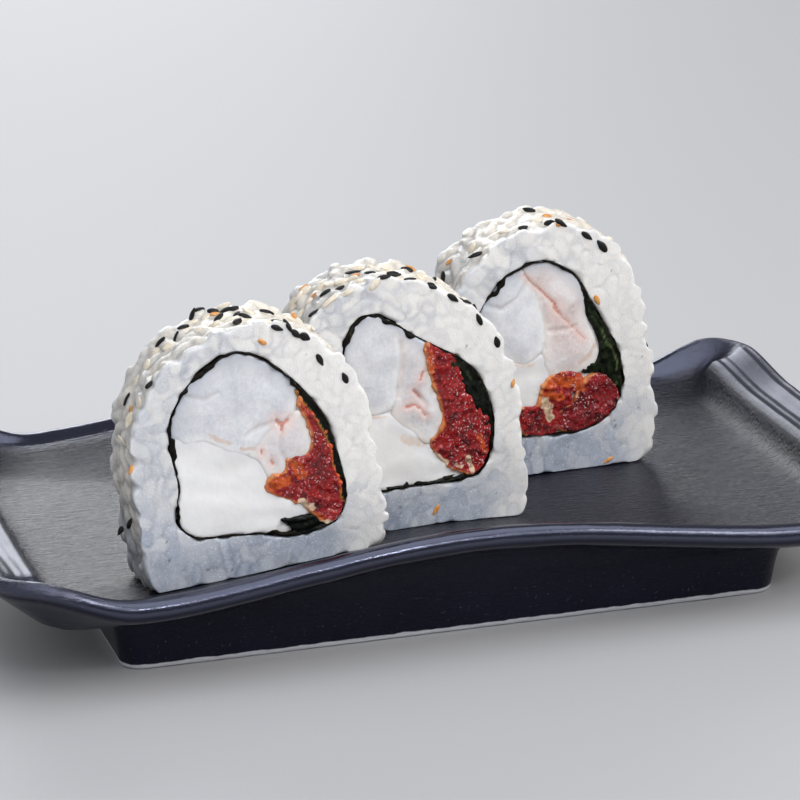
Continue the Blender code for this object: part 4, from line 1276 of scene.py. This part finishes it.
def tomato_skin(name, dark, red, orange):
    values = {
        "Roughness": 0.22, "Subsurface Weight": 0.12, "Subsurface Scale": 0.001,
        "Subsurface Radius": (1.0, 0.2, 0.1), "Specular IOR Level": 0.3, "Coat Weight": 0.55,
        "Coat Roughness": 0.04,
    }
    skin, tree = new_skin(name, values)
    where = place_of(tree)
    patch = noise(tree, where, 0.42, 5.0, 0.75, 0.5)
    colour = ramp(tree, patch, ((0.36, dark), (0.52, red), (0.68, red), (0.78, orange)))
    colour = laid(tree, colour, patchy(tree, "orange", where, 0.8), 0.85, (0.90, 0.15, 0.012))
    rim = times(tree, attribute(tree, "edge"), noise(tree, where, 0.5, 3.0, 0.6))
    colour = mixed(tree, ramp(tree, rim, ((0.12, 0.0), (0.5, 0.9))), colour, (0.90, 0.34, 0.10))
    crumbs = times(tree, attribute(tree, "pale"), noise(tree, where, 0.8, 3.0, 0.6))
    colour = mixed(tree, ramp(tree, crumbs, ((0.3, 0.0), (0.45, 1.0))), colour, (0.90, 0.66, 0.44))
    # painted shade in the gaps between lumps
    colour = darkened(tree, colour, "cavity", (0.34, 0.18, 0.20))
    # Painted glints: pale pink highlight specks, gathered in patches
    wet = ramp(tree, noise(tree, where, 0.28, 2.0), ((0.42, 0.15), (0.6, 1.0)))
    painted_glint = ramp(tree, noise(tree, where, 2.6, 1.0, 0.5), ((0.62, 0.0), (0.68, 0.9)))
    colour = mixed(tree, times(tree, painted_glint, wet), colour, (0.92, 0.66, 0.68))
    return finished(skin, {"Base Color": colour}, noise(tree, where, 3.2, 3.0, 0.7), 1.0, 0.5)


def nori_skin():
    skin, tree = new_skin("seaweed", {"Roughness": 0.42, "Specular IOR Level": 0.12})
    where = place_of(tree)
    weave = noise(tree, where, 1.1, 5.0, 0.7)
    colour = ramp(tree, weave, (
        (0.3, (0.002, 0.002, 0.0015)), (0.58, (0.009, 0.007, 0.004)), (0.76, (0.06, 0.042, 0.018))))
    return finished(skin, {"Base Color": colour}, weave, 0.6, 0.3)


def leaf_skin():
    values = {"Roughness": 0.24, "Specular IOR Level": 0.16}
    skin, tree = new_skin("dark_leaf", values)
    where = place_of(tree)
    veins = noise(tree, where, 0.5, 4.0, 0.6, 1.2)
    black = ramp(tree, veins, ((0.42, (0.001, 0.0016, 0.001)), (0.7, (0.006, 0.009, 0.005))))
    olive = ramp(tree, veins, ((0.42, (0.003, 0.005, 0.002)), (0.72, (0.016, 0.026, 0.008))))
    colour = mixed(tree, attribute(tree, "green"), black, olive)
    colour = mixed(tree, attribute(tree, "vein"), colour, (0.13, 0.17, 0.065))
    colour = laid(tree, colour, attribute(tree, "gold"), 0.8, (0.52, 0.26, 0.05))
    return finished(skin, {"Base Color": colour}, veins, 0.8, 0.5)


def seed_skin(name, low, high, roughness):
    skin, tree = new_skin(name, {"Roughness": roughness, "Specular IOR Level": 0.3})
    where = place_of(tree)
    mottle = noise(tree, where, 1.2, 3.0, 0.6)
    colour = ramp(tree, mottle, ((0.35, low), (0.65, high)))
    return finished(skin, {"Base Color": colour}, noise(tree, where, 3.5, 3.0), 0.3, 0.15)


# Stage
def aimed(item, place, target):
    item.location = place
    item.rotation_euler = (Vector(target) - Vector(place)).to_track_quat("-Z", "Y").to_euler()


def add_light(name, place, target, size, power, colour):
    data = bpy.data.lights.new(name, "AREA")
    data.shape = "RECTANGLE"
    data.size, data.size_y = size
    data.energy = power
    data.color = colour
    aimed(linked(name, data), place, target)


def add_stage():
    mesh = mesh_from("floor", [(-3, -3, 0), (3, -3, 0), (3, 3, 0), (-3, 3, 0)], [(0, 1, 2, 3)])
    skin, _ = new_skin("pale_floor", {"Base Color": (0.50, 0.50, 0.51, 1.0), "Roughness": 0.6})
    mesh.materials.append(skin)
    linked("floor", mesh)
    world = bpy.data.worlds.new("studio")
    bpy.context.scene.world = world
    world.use_nodes = True
    feed(world.node_tree.nodes["Background"], {"Color": (0.84, 0.85, 0.88, 1.0), "Strength": 0.3})
    middle = (0.0, 0.0, 0.03)
    add_light("key", (0.75, -0.55, 0.7), middle, (0.45, 0.45), 4.8, (1.0, 0.98, 0.94))
    add_light("spark", (0.2, -0.9, 0.75), middle, (0.06, 0.06), 0.9, (1.0, 0.98, 0.98))
    add_light("front", (-0.1, -0.8, 0.75), middle, (1.5, 0.45), 3.8, (0.93, 0.95, 1.0))
    add_light("top", (0.15, -0.25, 1.1), middle, (1.4, 0.8), 6.6, (0.92, 0.94, 1.0))
    add_light("fill", (-0.95, -0.1, 0.42), middle, (0.7, 0.5), 0.7, (0.95, 0.96, 1.0))
    add_light("back", (0.02, 1.1, 0.46), middle, (0.75, 0.6), 6.0, (0.96, 0.98, 1.0))
    bpy.context.scene.view_settings.view_transform = "Standard"


def add_camera():
    data = bpy.data.cameras.new("camera")
    data.lens = CAMERA_LENS
    data.sensor_width = SENSOR
    data.clip_start = 0.01
    camera = linked("camera", data)
    aimed(camera, Vector(CAMERA_PLACE) * MM, Vector(CAMERA_TARGET) * MM)
    bpy.context.scene.camera = camera


def build_roll(roll, skins):
    number = roll["number"]
    polar = Polar(closed_curve(roll["nori"], LOOP_STEPS))
    build_rice(roll, skins["rice"])
    build_nori(roll, skins["nori"])
    build_leaf(roll, polar, skins["leaf"])
    makers = {
        "shrimp_large": build_shrimp, "shrimp_small": build_shrimp, "tomato": build_tomato,
        "tomato_round": build_tomato, "cream_cheese": build_cheese,
    }
    for kind, control in roll["fillings"].items():
        slot = "tomato" if kind == "tomato_round" else kind
        makers[kind](roll, f"{kind}_{number}", control, polar, skins[kind], slot)


def rice_tree():
    """All rice surfaces in millimetres, for placing seeds."""
    meshes = [bpy.data.objects[f"rice_grains_{roll['number']}"].data for roll in ROLLS]
    points, faces = joined([
        (coordinates(mesh) / MM, [face.vertices for face in mesh.polygons]) for mesh in meshes])
    return BVHTree.FromPolygons([tuple(p) for p in points], faces)


def main():
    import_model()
    add_stage()
    add_camera()
    skins = {
        "rice": rice_skin(),
        "nori": nori_skin(),
        "leaf": leaf_skin(),
        "cream_cheese": cheese_skin(),
        "shrimp_large": shrimp_skin("shrimp_white", (0.84, 0.84, 0.86), (0.68, 0.69, 0.74),
                                    (0.96, 0.93, 0.91)),
        "shrimp_small": shrimp_skin("shrimp_pink", (0.86, 0.79, 0.77), (0.74, 0.57, 0.52),
                                    (0.94, 0.87, 0.82)),
        "tomato": tomato_skin("tomato_red", (0.09, 0.001, 0.002), (0.42, 0.005, 0.006),
                              (0.70, 0.07, 0.010)),
        "tomato_round": tomato_skin("tomato_dark", (0.06, 0.001, 0.002), (0.34, 0.003, 0.007),
                                    (0.50, 0.02, 0.012)),
    }
    build_plate(glaze_skin())
    for roll in ROLLS:
        build_roll(roll, skins)
    tree = rice_tree()
    black = seed_skin("black_sesame", (0.003, 0.003, 0.0035), (0.009, 0.008, 0.008), 0.42)
    white = seed_skin("white_sesame", (0.78, 0.66, 0.48), (0.90, 0.85, 0.74), 0.4)
    orange = seed_skin("orange_flecks", (0.62, 0.22, 0.05), (0.80, 0.42, 0.14), 0.4)
    build_seeds("sesame_black", BLACK_SEEDS, 5, (2.8, 1.35, 0.8), 0.0, tree, 1, black)
    build_seeds("sesame_white", WHITE_SEEDS, 6, (2.9, 1.6, 0.8), -0.05, tree, 2, white)
    build_seeds("flecks_orange", ORANGE_FLECKS, 2, (2.0, 1.0, 0.5), 0.05, tree, 3, orange)
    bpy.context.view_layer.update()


main()
